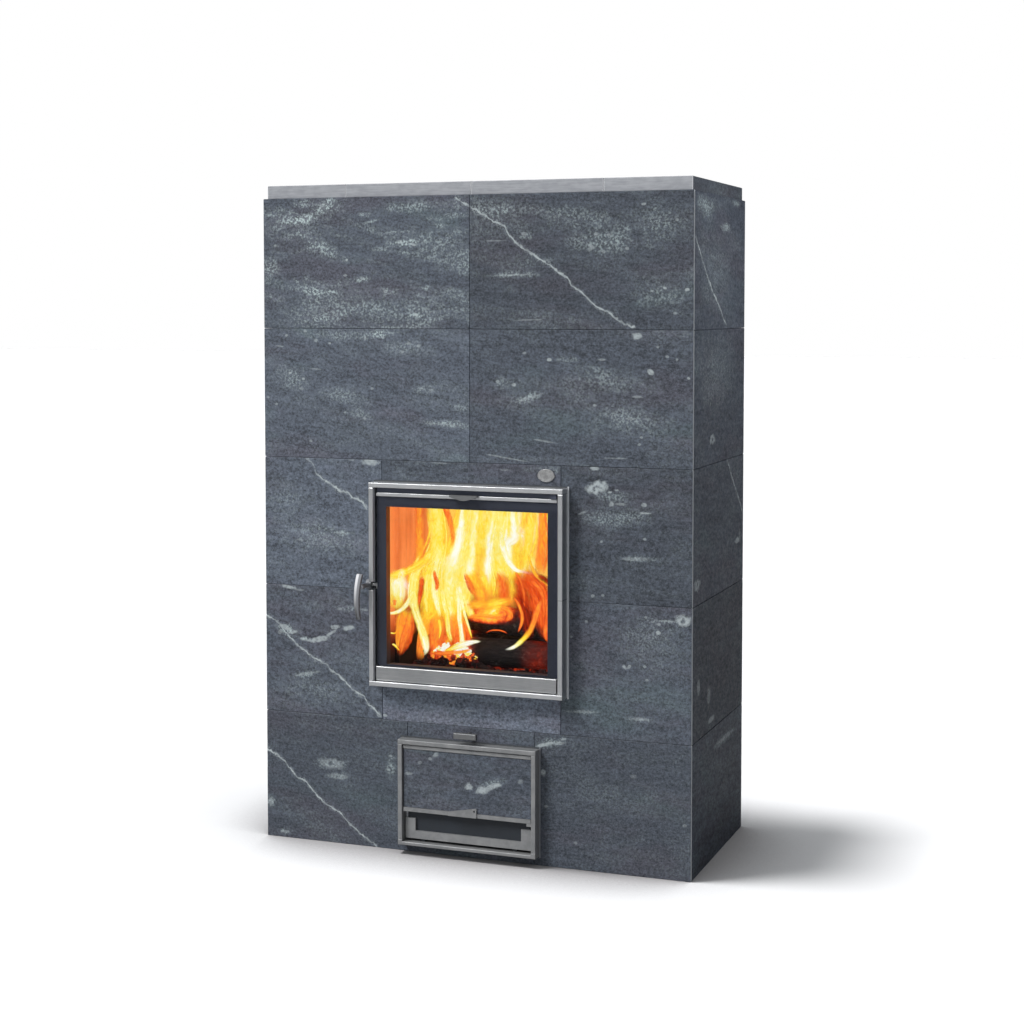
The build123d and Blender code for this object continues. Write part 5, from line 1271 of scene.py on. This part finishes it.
# Each tongue: depth in Y in millimetres, density and softness in hundredths, its points from root to tip.
# A point is how far across and up the window the camera sees it, half its width, and its heat, in hundredths.
tongues = {
    "backLeftColumn": (30, 95, 70, [(37, 31, 9.9, 70), (34, 49, 8.7, 79), (32, 68, 8.2, 82),
        (29, 86, 7.2, 82), (26, 106, 6.6, 81)]),
    "rightAmber": (30, 100, 70, [(93, 60, 3.7, 56), (94, 72, 4.3, 58), (95, 86, 4, 58), (95, 98, 3.2, 62),
        (95, 110, 2.6, 70)]),
    "rightLine": (50, 90, 40, [(97, 79, 0.9, 70), (98, 90, 1.2, 80), (98, 101, 0.9, 70)]),
    "core1": (0, 85, 100, [(37, 56, 3.8, 90), (39, 65, 5.4, 99), (43, 76, 4.6, 100), (45, 87, 3.5, 99),
        (46, 98, 2.8, 94), (47, 107, 2.2, 90)]),
    "core2": (20, 80, 100, [(62, 50, 3, 85), (62, 60, 4.2, 96), (62, 69, 4.6, 98), (63, 82, 3.8, 94),
        (65, 95, 3, 88), (66, 106, 2.2, 84)]),
    "core3": (10, 85, 100, [(78, 59, 2.8, 88), (75, 70, 3.8, 95), (74, 79, 4.9, 100), (78, 84, 5.4, 101),
        (77, 96, 3.6, 93), (76, 107, 2.8, 88)]),
    "paleHook": (-20, 95, 60, [(92, 60.5, 0.6, 88), (85, 62, 1.2, 93), (78, 64, 2.1, 95), (73, 71, 2.9, 95),
        (70, 80, 2.7, 92), (70, 88, 1.9, 88)]),
    "sunPatch": (30, 75, 90, [(57, 69, 3.7, 76), (57, 88, 4.9, 76), (57, 106, 4.3, 78)]),
    "rightYellow": (20, 85, 80, [(84, 63, 3.7, 74), (85, 73, 4.9, 77), (87, 86, 4.9, 78),
        (88, 103, 3.7, 78)]),
    "slit": (-20, 95, 80, [(35, 107, 3.4, 54), (36, 98, 3, 54), (39, 89, 2.4, 56), (40, 81, 1.9, 58),
        (39, 74, 1.4, 64)]),
    "paleColumn": (0, 80, 70, [(50, 40, 3.7, 86), (50, 56, 4.9, 90), (52, 75, 4.3, 88), (54, 94, 3.7, 87),
        (55, 106, 3.1, 86)]),
    "heartPale": (-80, 95, 80, [(41, 19, 3.1, 81), (39, 32, 4.9, 83), (37, 46, 6.8, 84), (39, 61, 7.4, 88),
        (42, 73, 4.9, 92)]),
    "strandA": (-100, 90, 40, [(32, 30, 0.7, 82), (31, 35, 1.9, 86), (29, 43, 2.8, 88), (28, 52, 3.1, 86),
        (29, 64, 3.1, 85), (33, 74, 2.5, 82)]),
    "strandB": (-110, 85, 40, [(24, 31, 1.2, 75), (23, 40, 1.9, 80), (23, 48, 1.9, 82), (24, 58, 2.5, 80),
        (28, 67, 2.5, 78)]),
    "leftSweep": (-150, 95, 50, [(15, 34, 3.1, 86), (14, 43, 3.1, 88), (15, 52, 3.1, 86), (18, 61, 3.7, 82),
        (23, 67, 3.1, 78), (28, 75, 2.5, 76)]),
    "redSlot": (-170, 100, 70, [(18, 37, 1.1, 46), (19, 43, 2.3, 42), (20, 50, 2.5, 42),
        (20.5, 57, 1.7, 50)]),
    "smallSlot": (-120, 100, 70, [(29, 47, 0.9, 54), (30, 51, 1.9, 50), (29, 56, 1.8, 52),
        (28, 61, 1.1, 62)]),
    "spear": (-185, 100, 40, [(21, 5, 0.3, 88), (23, 10, 2.4, 93), (22, 16, 3.2, 90), (20, 23, 2.9, 86),
        (17, 31, 3, 86), (15, 40, 3.3, 85), (15, 50, 3.3, 84), (16, 60, 3.1, 80)]),
    "thorn": (-160, 90, 30, [(31, 17, 0.4, 72), (32, 23, 1, 76), (31, 30, 1.2, 80)]),
    "strandC": (-130, 95, 45, [(39, 15, 1.5, 79), (37, 23, 1.9, 81), (36, 33, 2, 84), (34, 42, 2.1, 86),
        (33, 49, 2.5, 86)]),
    "strandD": (-150, 95, 30, [(46, 14, 2.5, 95), (45, 23, 1.6, 92), (44, 32, 1.9, 92), (44, 42, 2.1, 92),
        (43, 52, 2.5, 90)]),
    "strandE": (-160, 95, 30, [(52, 18, 0.5, 70), (50, 25, 0.9, 84), (47, 35, 1.1, 90), (45, 45, 1.4, 90),
        (44, 52, 1.6, 88)]),
    "betweenStrands": (-140, 95, 50, [(50, 16, 1.9, 45), (49, 23, 1.9, 50), (47, 31, 1.2, 60)]),
    "redVeil": (-120, 95, 80, [(29, 1, 1.6, 50), (29, 10, 6.2, 53), (30, 22, 8, 58), (31, 33, 6, 64)]),
    "redVeilRight": (-110, 100, 60, [(43, 6, 7.4, 45), (44, 16, 8, 50), (43, 26, 7.4, 58),
        (42, 36, 6.2, 68)]),
    "amberShelf": (-60, 95, 70, [(59, 40, 3.7, 66), (57, 47, 6.2, 66), (54, 54, 6.2, 68),
        (50, 61, 4.9, 76)]),
    "orangePocket": (-70, 90, 90, [(55, 46, 2.2, 54), (52, 50, 3.2, 52), (49, 56, 2.3, 56),
        (47, 60, 1.2, 62)]),
    "paleFoot": (-90, 90, 60, [(52, 32, 3.1, 80), (50, 37, 3.7, 84), (48, 44, 3.1, 86)]),
    "hairLine": (-70, 90, 30, [(65, 46, 0.4, 70), (66, 54, 0.7, 82), (65, 61, 0.7, 84), (63, 68, 0.7, 86)]),
    "limePatch": (-50, 85, 80, [(61, 50, 1.9, 74), (60, 54, 3.7, 77), (58, 59, 4.3, 78)]),
    "logCrest": (-90, 90, 90, [(46, 38, 3, 60), (53, 40, 5, 66), (61, 41, 5.5, 70), (69, 42, 5, 78),
        (75, 44, 3.5, 62), (79, 46, 1.5, 50)]),
    "logKnuckle": (-100, 95, 60, [(69, 40, 1.6, 60), (74, 38, 2.6, 58), (75, 34, 2.6, 54),
        (72, 31, 1.2, 46)]),
    "logLip": (-95, 70, 90, [(47, 31, 1.2, 60), (54, 33, 2.6, 62), (62, 33, 2.6, 60), (70, 33, 1.4, 52)]),
    "redRise": (0, 90, 100, [(69, 36, 4.6, 48), (71, 44, 6.2, 48), (71, 54, 6.8, 50), (68, 63, 5.2, 56)]),
    "redRiseB": (20, 85, 80, [(81, 29, 3.7, 28), (83, 42, 5.6, 34), (82, 52, 6.2, 37), (78, 62, 5.6, 42)]),
    "redStreak": (-130, 90, 60, [(84, 38, 0.7, 36), (84, 47, 1.2, 50), (82, 56, 1.3, 52),
        (78, 63, 1.2, 50)]),
    "rightBand": (-140, 95, 70, [(96, 22, 1.5, 46), (97, 32, 3.1, 50), (97, 42, 3.6, 50), (95, 51, 3.6, 49),
        (90, 57, 3.1, 48), (84, 61, 2.5, 48)]),
    "rightBandB": (-135, 85, 70, [(89, 33, 1.9, 38), (91, 42, 2.8, 46), (89, 50, 2.8, 48),
        (84, 56, 2.5, 46)]),
    "rightEdge": (-150, 95, 50, [(99, 19, 0.6, 46), (97, 24, 2, 50), (98, 32, 2.4, 52), (99, 42, 2.2, 53),
        (101, 50, 1.9, 52)]),
    "farThread": (-145, 90, 45, [(101, 53, 0.8, 60), (96, 57, 1.2, 62), (91, 61, 1.4, 64), (88, 68, 1, 70),
        (86, 75, 0.7, 74)]),
    "innerCurl": (-140, 95, 45, [(77, 47, 0.5, 46), (80, 43, 1.2, 54), (82.5, 37, 1.4, 55),
        (82.5, 31, 1.3, 55), (80, 24, 0.5, 46)]),
    "scythe": (-155, 100, 50, [(71.5, 13, 0.4, 100), (77, 15, 1.4, 98), (82, 19, 1.9, 82), (87, 25, 2.2, 66),
        (90, 32, 2.3, 57), (92, 39, 2.4, 54), (95, 47, 2, 52)]),
    "leftBand": (-200, 95, 50, [(-2, 31.5, 0.8, 85), (3, 32, 1.5, 90), (8, 35, 1.8, 90), (12, 40, 2, 88),
        (15, 47, 2, 85)]),
    "leftGlow": (-170, 95, 90, [(5, 33, 4.8, 72), (4, 43, 7.4, 85), (4, 51, 8, 89), (7, 60, 6.2, 85)]),
    "whiteHeart": (-215, 100, 100, [(7, 38, 2.2, 86), (7, 43, 4.6, 97), (6.5, 49, 6.2, 106),
        (6.5, 55, 5, 98), (9, 61, 2.2, 86)]),
    "leftCrown": (-190, 90, 70, [(-2, 53, 2.6, 74), (4, 56, 3.4, 78), (11, 59, 3.6, 78), (18, 63, 3.2, 76),
        (26, 69, 2.2, 72)]),
    "leftEmber": (-202, 90, 80, [(3, 36, 0.9, 56), (3, 40, 1.9, 54), (3, 43, 1.2, 60)]),
    "lowTongue": (-165, 95, 50, [(5, 9, 0.4, 60), (5, 14, 1.8, 60), (6, 20, 2.6, 58), (8, 27, 3.4, 57),
        (10, 34, 3.4, 64)]),
    "lowTongueB": (-160, 90, 60, [(13, 12, 0.7, 36), (13, 18, 1.9, 46), (12, 25, 3.1, 54),
        (12, 32, 3.7, 62)]),
    "lowSpark": (-204, 95, 30, [(1, 12, 0.6, 80), (3, 11, 0.9, 76), (6, 8, 0.4, 62)]),
    "lowSparkB": (-204, 90, 30, [(0, 19, 0.6, 85), (3, 19, 0.6, 70), (5, 22, 0.4, 56)]),
    "lowCurl": (-203, 90, 30, [(7, 12, 0.3, 45), (9, 16, 0.6, 52), (11, 19, 0.6, 55), (12, 22, 0.4, 50)]),
    "heapGlow": (-158, 90, 50, [(33, 9, 0.9, 62), (38, 11, 2, 78), (44, 14, 2.6, 90), (50, 16, 2.2, 98),
        (54, 17, 1.4, 96), (58, 17.5, 0.3, 95)]),
    "ringArc": (-120, 85, 60, [(60, 22.5, 0.3, 36), (63, 24.5, 0.6, 45), (68, 25.2, 0.7, 47),
        (72, 24.4, 0.6, 45), (74, 23, 0.3, 38)]),
    "darkCorner": (-150, 85, 90, [(101, 55, 1.8, 25), (97, 58, 2.8, 24), (92, 61, 2, 34)]),
    "amberSheet": (-50, 80, 90, [(19, 60, 4, 62), (19, 76, 4.5, 63), (19, 92, 4, 60), (18, 110, 3.6, 58)]),
    "heapFoot": (-157, 80, 70, [(25, 8, 1.2, 45), (31, 8, 1.6, 52), (38, 9, 1.8, 56), (46, 10, 1.6, 60),
        (53, 13, 0.8, 50)]),
}

# Broad soft bodies of fire behind and between the tongues, written like them
bodies = {
    "backMass": (60, 100, 90, [(70, 38, 18.6, 62), (70, 54, 23.5, 77), (69, 76, 26, 82), (68, 94, 26, 83),
        (68, 110, 24.7, 81)]),
    "middleBody": (50, 100, 90, [(40, 36, 13, 78), (41, 50, 16, 81), (44, 66, 16, 83), (47, 82, 13, 83),
        (49, 96, 12, 82), (50, 112, 11, 82)]),
    "leftBody": (0, 100, 80, [(18, 36, 9, 72), (21, 46, 13, 78), (25, 56, 15, 80), (29, 66, 12, 80),
        (31, 78, 8.5, 79), (31, 92, 7.5, 79), (29, 110, 7, 79)]),
    "orangeBody": (-30, 100, 70, [(21, 2, 9, 55), (22, 14, 14, 60), (24, 26, 17, 66), (27, 38, 17, 74),
        (28, 50, 14, 80)]),
    "orangeBodyRight": (-35, 100, 70, [(43, 12, 9, 56), (43, 22, 10, 62), (43, 32, 12, 74), (43, 44, 13, 82),
        (43, 56, 12, 84)]),
    "leftOrange": (-160, 90, 90, [(6, 4, 1, 46), (8, 13, 5.4, 52), (9, 24, 9, 58), (10, 36, 8.5, 68)]),
    "rightVeil": (-125, 100, 80, [(97, 20, 2, 42), (95, 30, 5, 45), (93, 40, 8, 45), (91, 50, 11, 43),
        (87, 58, 10, 44), (80, 64, 7, 48)]),
    "rightDusk": (-128, 90, 80, [(88, 20, 2.5, 20), (86, 28, 4.5, 26), (84, 36, 5, 32), (81, 44, 5, 34),
        (79, 52, 4.5, 40)]),
}


def seenAt(across, up, depth, half):
    # the place at a depth where the camera sees a point of the window; near a side wall it comes forward
    eye = np.array(camera.location)
    (left, foot), (right, top) = window["low"], window["high"]
    x, z = left + (right - left) * across / 100, foot + (top - foot) * up / 100
    ray = np.array([x, window["depth"], z]) - eye
    reach = (depth - eye[1]) / ray[1]
    limit = window["wall"] - min(half * 0.5, 0.006) + 0.08 * min(depth + 0.14, 0)
    if eye[0] + ray[0] * reach < -limit:
        reach = (-limit - eye[0]) / ray[0]
    return eye + ray * max(reach, 1.004)


def unit(vectors):
    return vectors / np.linalg.norm(vectors, axis=1)[:, None]


def makeTongue(index, depth, density, softness, marks):
    # a leaf carried along its path: each section is a flat ellipse across the path, facing the window
    size = flame
    scale = (window["high"][0] - window["low"][0]) / 100 * math.cos(camera.rotation_euler.z)
    depth += size["layerStep"] * (index % size["layers"])
    path = smoothPath([seenAt(a, u, depth, h * scale) for a, u, h, heat in marks], size["steps"])
    rest = smoothPath([(h * scale, heat, 0) for a, u, h, heat in marks], size["steps"])
    at = np.linspace(0, 1, size["steps"])
    tip = np.clip(np.minimum(at, 1 - at) / size["taper"], 0, 1)
    width = np.maximum(rest[:, 0] * (tip * (2 - tip)) ** 0.6, 0.0004)
    heat = rest[:, 1]
    run = unit(np.gradient(path, axis=0))
    side = unit(np.cross(run, unit(path - np.array(camera.location))))
    out = np.cross(side, run)
    angle = np.linspace(0, 2 * np.pi, size["sides"], endpoint=False)
    c, s = np.cos(angle)[None, :, None], np.sin(angle)[None, :, None]
    points = path[:, None] + width[:, None, None] * (side[:, None] * c + out[:, None] * s * size["flatness"])
    length = np.concatenate([[0], np.cumsum(np.linalg.norm(np.diff(path, axis=0), axis=1))])
    across = np.broadcast_to(c[..., 0], points.shape[:2])
    share = np.broadcast_to((length / length[-1])[:, None], across.shape)
    grain = np.stack([
        across * width[:, None] / size["grainWide"] + 7.3 * index,
        np.broadcast_to((length / size["grainLong"])[:, None], across.shape),
    ], -1)
    own = np.stack([0.5 + 0.5 * across, share], -1)
    one = np.ones_like(across)
    return points, own, grain, heat[:, None] * one, one * density, one * softness


def readUv(near, label):
    step = addStep(near, "ShaderNodeUVMap")
    step.uv_map = label
    return step.outputs[0]


def makeFlame(name):
    # soft rim and ends, streaks that run along the tongue, and heat turned into colour
    material, shader = startMaterial(
        name, Base_Color=(0, 0, 0, 1), Roughness=1.0, Specular_IOR_Level=0.0,
        Emission_Strength=flame["strength"],
    )[:2]
    material.surface_render_method = "BLENDED"
    own, grain = readUv(shader, "tongue"), readUv(shader, "grain")
    parts = sharesOf(own)
    soft = readNumber(shader, "softness")
    streak = noise(grain, 1.0, 4.0, 0.6, 0.5)
    fine = noise(placed(grain, (3.1, 7.7, 0)), 1.8, 3.0, 0.6, 1.2)
    rimAway = minus(1.0, absolute(scaled(parts["X"], 2.0, -1.0)))
    torn = times(minus(streak, 0.5), scaled(soft, 0.9, 0.25))
    edge = spread(plus(rimAway, torn), 0.02, scaled(soft, 0.8, 0.32))
    endAway = calc("MINIMUM", parts["Y"], minus(1.0, parts["Y"]))
    tail = spread(endAway, 0.0, scaled(soft, 0.22, 0.05))
    alpha = calc("MULTIPLY", times(edge, tail), readNumber(shader, "cover"), clamp=True)
    heat = plus(readNumber(shader, "glowing"), times(minus(fine, 0.5), 0.34), times(minus(edge, 0.8), 0.12))
    finish(shader, Emission_Color=coloured(heat, fireHeats), Alpha=alpha)
    return material


def makeWisps(depth, density, softness, marks, count, wide, draw):
    # narrower strands that weave up their parent: its own path, pushed sideways by a slow wave
    strands = []
    for _ in range(count):
        place, phase, lift = draw.uniform(-0.75, 0.75), draw.uniform(0, 6.3), draw.normal(0, 0.055)
        narrow = draw.uniform(0.5, 1.1) * wide
        strands.append((depth - 0.004, density * 0.7, min(softness + 0.15, 1), [
            (a + half * (place + 0.25 * math.sin(phase + 1.1 * k)), u, half * narrow, heat + lift)
            for k, (a, u, half, heat) in enumerate(marks)
        ]))
    return strands


def metric(depth, density, softness, marks):
    # a row of the tables in metres and shares
    marks = [(across, up, half, heat / 100) for across, up, half, heat in marks]
    return depth / 1000, density / 100, softness / 100, marks


draw = np.random.default_rng(21)
everyTongue = []
for body in bodies.values():
    body = metric(*body)
    everyTongue += [body, *makeWisps(*body, *flame["bodyWisps"], draw)]
for tongue in tongues.values():
    tongue = metric(*tongue)
    everyTongue.append(tongue)
    if max(mark[2] for mark in tongue[3]) > flame["wideFrom"]:
        everyTongue += makeWisps(*tongue, *flame["tongueWisps"], draw)
leaves, owns, grains, *numbers = zip(*(
    makeTongue(index, *tongue) for index, tongue in enumerate(everyTongue)
))
points, faces = joined(leaves)
sides, steps = flame["sides"], flame["steps"]
caps = []
for first in range(0, len(leaves) * steps * sides, steps * sides):
    last = first + (steps - 1) * sides
    caps += [list(range(first + sides - 1, first - 1, -1)), list(range(last, last + sides))]
flames = newPiece("flames", points, faces.tolist() + caps, makeFlame("fireLight"))
layUv(flames, "tongue", np.concatenate(owns))
layUv(flames, "grain", np.concatenate(grains))
for label, values in zip(("glowing", "cover", "softness"), numbers):
    carry(flames, label, values)
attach(flames, "heater")
bpy.context.scene.cycles.transparent_max_bounces = 64
print("flames:", len(leaves), "tongues")


# Door seal

sealSizes = {"steps": 900, "sides": 12, "corner": 0.012, "halfWide": 0.004, "pitch": 0.0042, "depth": 0.16}


def makeSeal():
    # woven tape round the leaf: a flat oval carried round a rounded rectangle, with slanting yarn ridges
    size = sealSizes
    low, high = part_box("door_gasket")
    thick = (high.y - low.y) / 2
    wide = size["halfWide"]
    x, z = high.x - wide, (high.z - low.z) / 2 - wide
    middleZ, middleY = (high.z + low.z) / 2, (high.y + low.y) / 2
    c = size["corner"]
    lengths = np.array([2 * (z - c), c * np.pi / 2, 2 * (x - c), c * np.pi / 2] * 2)
    at = np.linspace(0, lengths.sum(), size["steps"], endpoint=False)
    starts = np.concatenate([[0], np.cumsum(lengths)])
    part = np.searchsorted(starts, at, side="right") - 1
    run = at - starts[part]
    cornersX = np.array([1, 1, 1, -1, -1, -1, -1, 1]) * (x - c)
    cornersZ = np.array([-1, 1, 1, 1, 1, -1, -1, -1]) * (z - c)
    base = np.arange(8) // 2 * 0.5 * np.pi
    turn = base[part] + np.where(part % 2 == 1, run / c, 0)
    ahead = np.where(part % 2 == 0, run, 0)
    px = cornersX[part] + c * np.cos(turn) - ahead * np.sin(turn)
    pz = cornersZ[part] + c * np.sin(turn) + ahead * np.cos(turn)
    angle = np.linspace(0, 2 * np.pi, size["sides"], endpoint=False)[None, :]
    yarn = 1 - size["depth"] * (0.5 + 0.5 * np.sin(2 * np.pi * at[:, None] / size["pitch"] + 2 * angle))
    reach = wide * np.cos(angle) * yarn
    return np.stack([
        px[:, None] + reach * np.cos(turn)[:, None],
        middleY + thick * np.sin(angle) * yarn,
        middleZ + pz[:, None] + reach * np.sin(turn)[:, None],
    ], -1)


sealShape = makeSeal()
sealFaces = gridFaces(*sealShape.shape[:2], closedRows=True, closedColumns=True)
yarn = makeFibre("wovenGlassFibre", *fibres["wovenGlassFibre"])
seal = newPiece("door_seal_tape", sealShape, sealFaces.tolist(), yarn)
weld(seal)
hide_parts("door_gasket")
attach(seal, "door")
print("door seal done")


# Light and floor

studio = {
    # suns: the direction their light comes from, strength, and angle in degrees
    "key": ((-0.46, -0.50, 0.735), 3.15, 22.0),
    "floorKey": ((-0.225, -0.088, 0.97), 2.7, 10.5),
    "floorFill": ((0.45, -0.05, 0.89), 0.36, 40.0),
    "fill": ((0.10, -0.85, 0.45), 0.30, 50.0),
    # a small lamp behind the right side that lights the edge of the top
    "rim": {"place": (2.1, 0.05, 2.0), "aim": (0.51, 0.0, 1.42), "size": 0.5, "power": 1.3, "spread": 46.0},
    "skyTowards": (-0.45, -0.35, 0.82),
    "skyTone": (0.93, 0.97, 1.0, 1),
    "skyDark": 0.08,
    "skyBright": 0.36,
    "floorSeen": (0.90, 0.90, 0.91, 1),
    "floorGiving": (0.38, 0.38, 0.385, 1),
    # painted shade on the floor near what stands on it
    "floorPaintedShade": (0.32, 0.308, 0.314, 1),
    "floorNearness": 0.3,
    "floorSpeck": (0.6, 0.6, 0.6, 1),
    "floorReach": 40.0,
}
for name in ("key", "fill", "floorKey", "floorFill"):
    towards, strength, softness = studio[name]
    lamp = inScene(name, bpy.data.lights.new(name, "SUN"))
    lamp.data.energy = strength
    lamp.data.angle = math.radians(softness)
    lamp.rotation_mode = "QUATERNION"
    lamp.rotation_quaternion = Vector(towards).to_track_quat("Z", "Y")
rimLight = studio["rim"]
rim = inScene("rim", bpy.data.lights.new("rim", "AREA"))
rim.data.energy = rimLight["power"]
rim.data.size = rimLight["size"]
rim.data.spread = math.radians(rimLight["spread"])
rim.location = rimLight["place"]
rim.rotation_mode = "QUATERNION"
rim.rotation_quaternion = (Vector(rimLight["place"]) - Vector(rimLight["aim"])).to_track_quat("Z", "Y")

# the room is brighter on the key light's side, and the camera sees it as a white backdrop
world = bpy.data.worlds.new("studio")
bpy.context.scene.world = world
world.use_nodes = True
world.node_tree.nodes.clear()
chooser = world.node_tree.nodes.new("ShaderNodeMixShader")
room, backdrop = (addStep(chooser, "ShaderNodeBackground") for _ in range(2))
room.inputs["Color"].default_value = studio["skyTone"]
backdrop.inputs["Color"].default_value = (1, 1, 1, 1)
facing = addStep(chooser, "ShaderNodeVectorMath")
facing.operation = "DOT_PRODUCT"
put(addStep(chooser, "ShaderNodeTexCoord").outputs["Generated"], facing.inputs[0])
facing.inputs[1].default_value = Vector(studio["skyTowards"]).normalized()
sky = spread(facing.outputs["Value"], -0.4, 0.9, studio["skyDark"], studio["skyBright"])
put(sky, room.inputs["Strength"])
seen = addStep(chooser, "ShaderNodeLightPath").outputs["Is Camera Ray"]
for socket, value in zip(chooser.inputs, (seen, room.outputs[0], backdrop.outputs[0])):
    put(value, socket)
put(chooser.outputs[0], addStep(chooser, "ShaderNodeOutputWorld").inputs["Surface"])
bpy.context.scene.view_settings.view_transform = "Standard"


def makeFloor():
    # it looks white but throws back less light than it shows, as a lit sweep far behind the object would, and
    # has painted shade near what stands on it
    material, shader, place = startMaterial("paleFloor", Roughness=0.9)
    seen = addStep(shader, "ShaderNodeLightPath").outputs["Is Camera Ray"]
    tone = blended(seen, studio["floorGiving"], studio["floorSeen"])
    speck = spread(noise(place, 3.0), 0.3, 0.7, 0.0, 0.03)
    tone = blended(speck, tone, studio["floorSpeck"])
    nearby = addStep(shader, "ShaderNodeAmbientOcclusion")
    nearby.inputs["Distance"].default_value = studio["floorNearness"]
    nearby.samples = 8
    # painted shade where the floor is hemmed in
    tone = blended(spread(nearby.outputs["AO"], 0.42, 0.97), studio["floorPaintedShade"], tone)
    finish(shader, Base_Color=tone)
    return material


corners = np.array([(-1, -1, 0), (1, -1, 0), (1, 1, 0), (-1, 1, 0)]) * studio["floorReach"]
floor = newPiece("floor", corners, [[0, 1, 2, 3]], makeFloor())
# the key light misses the floor; two suns that light nothing else give it a short shadow and a soft one
for name, state in (("key", "EXCLUDE"), ("floorKey", "INCLUDE"), ("floorFill", "INCLUDE")):
    lit = bpy.data.collections.new(name + "Lit")
    lit.objects.link(floor)
    lit.collection_objects[0].light_linking.link_state = state
    bpy.data.objects[name].light_linking.receiver_collection = lit
print("camera and studio set")
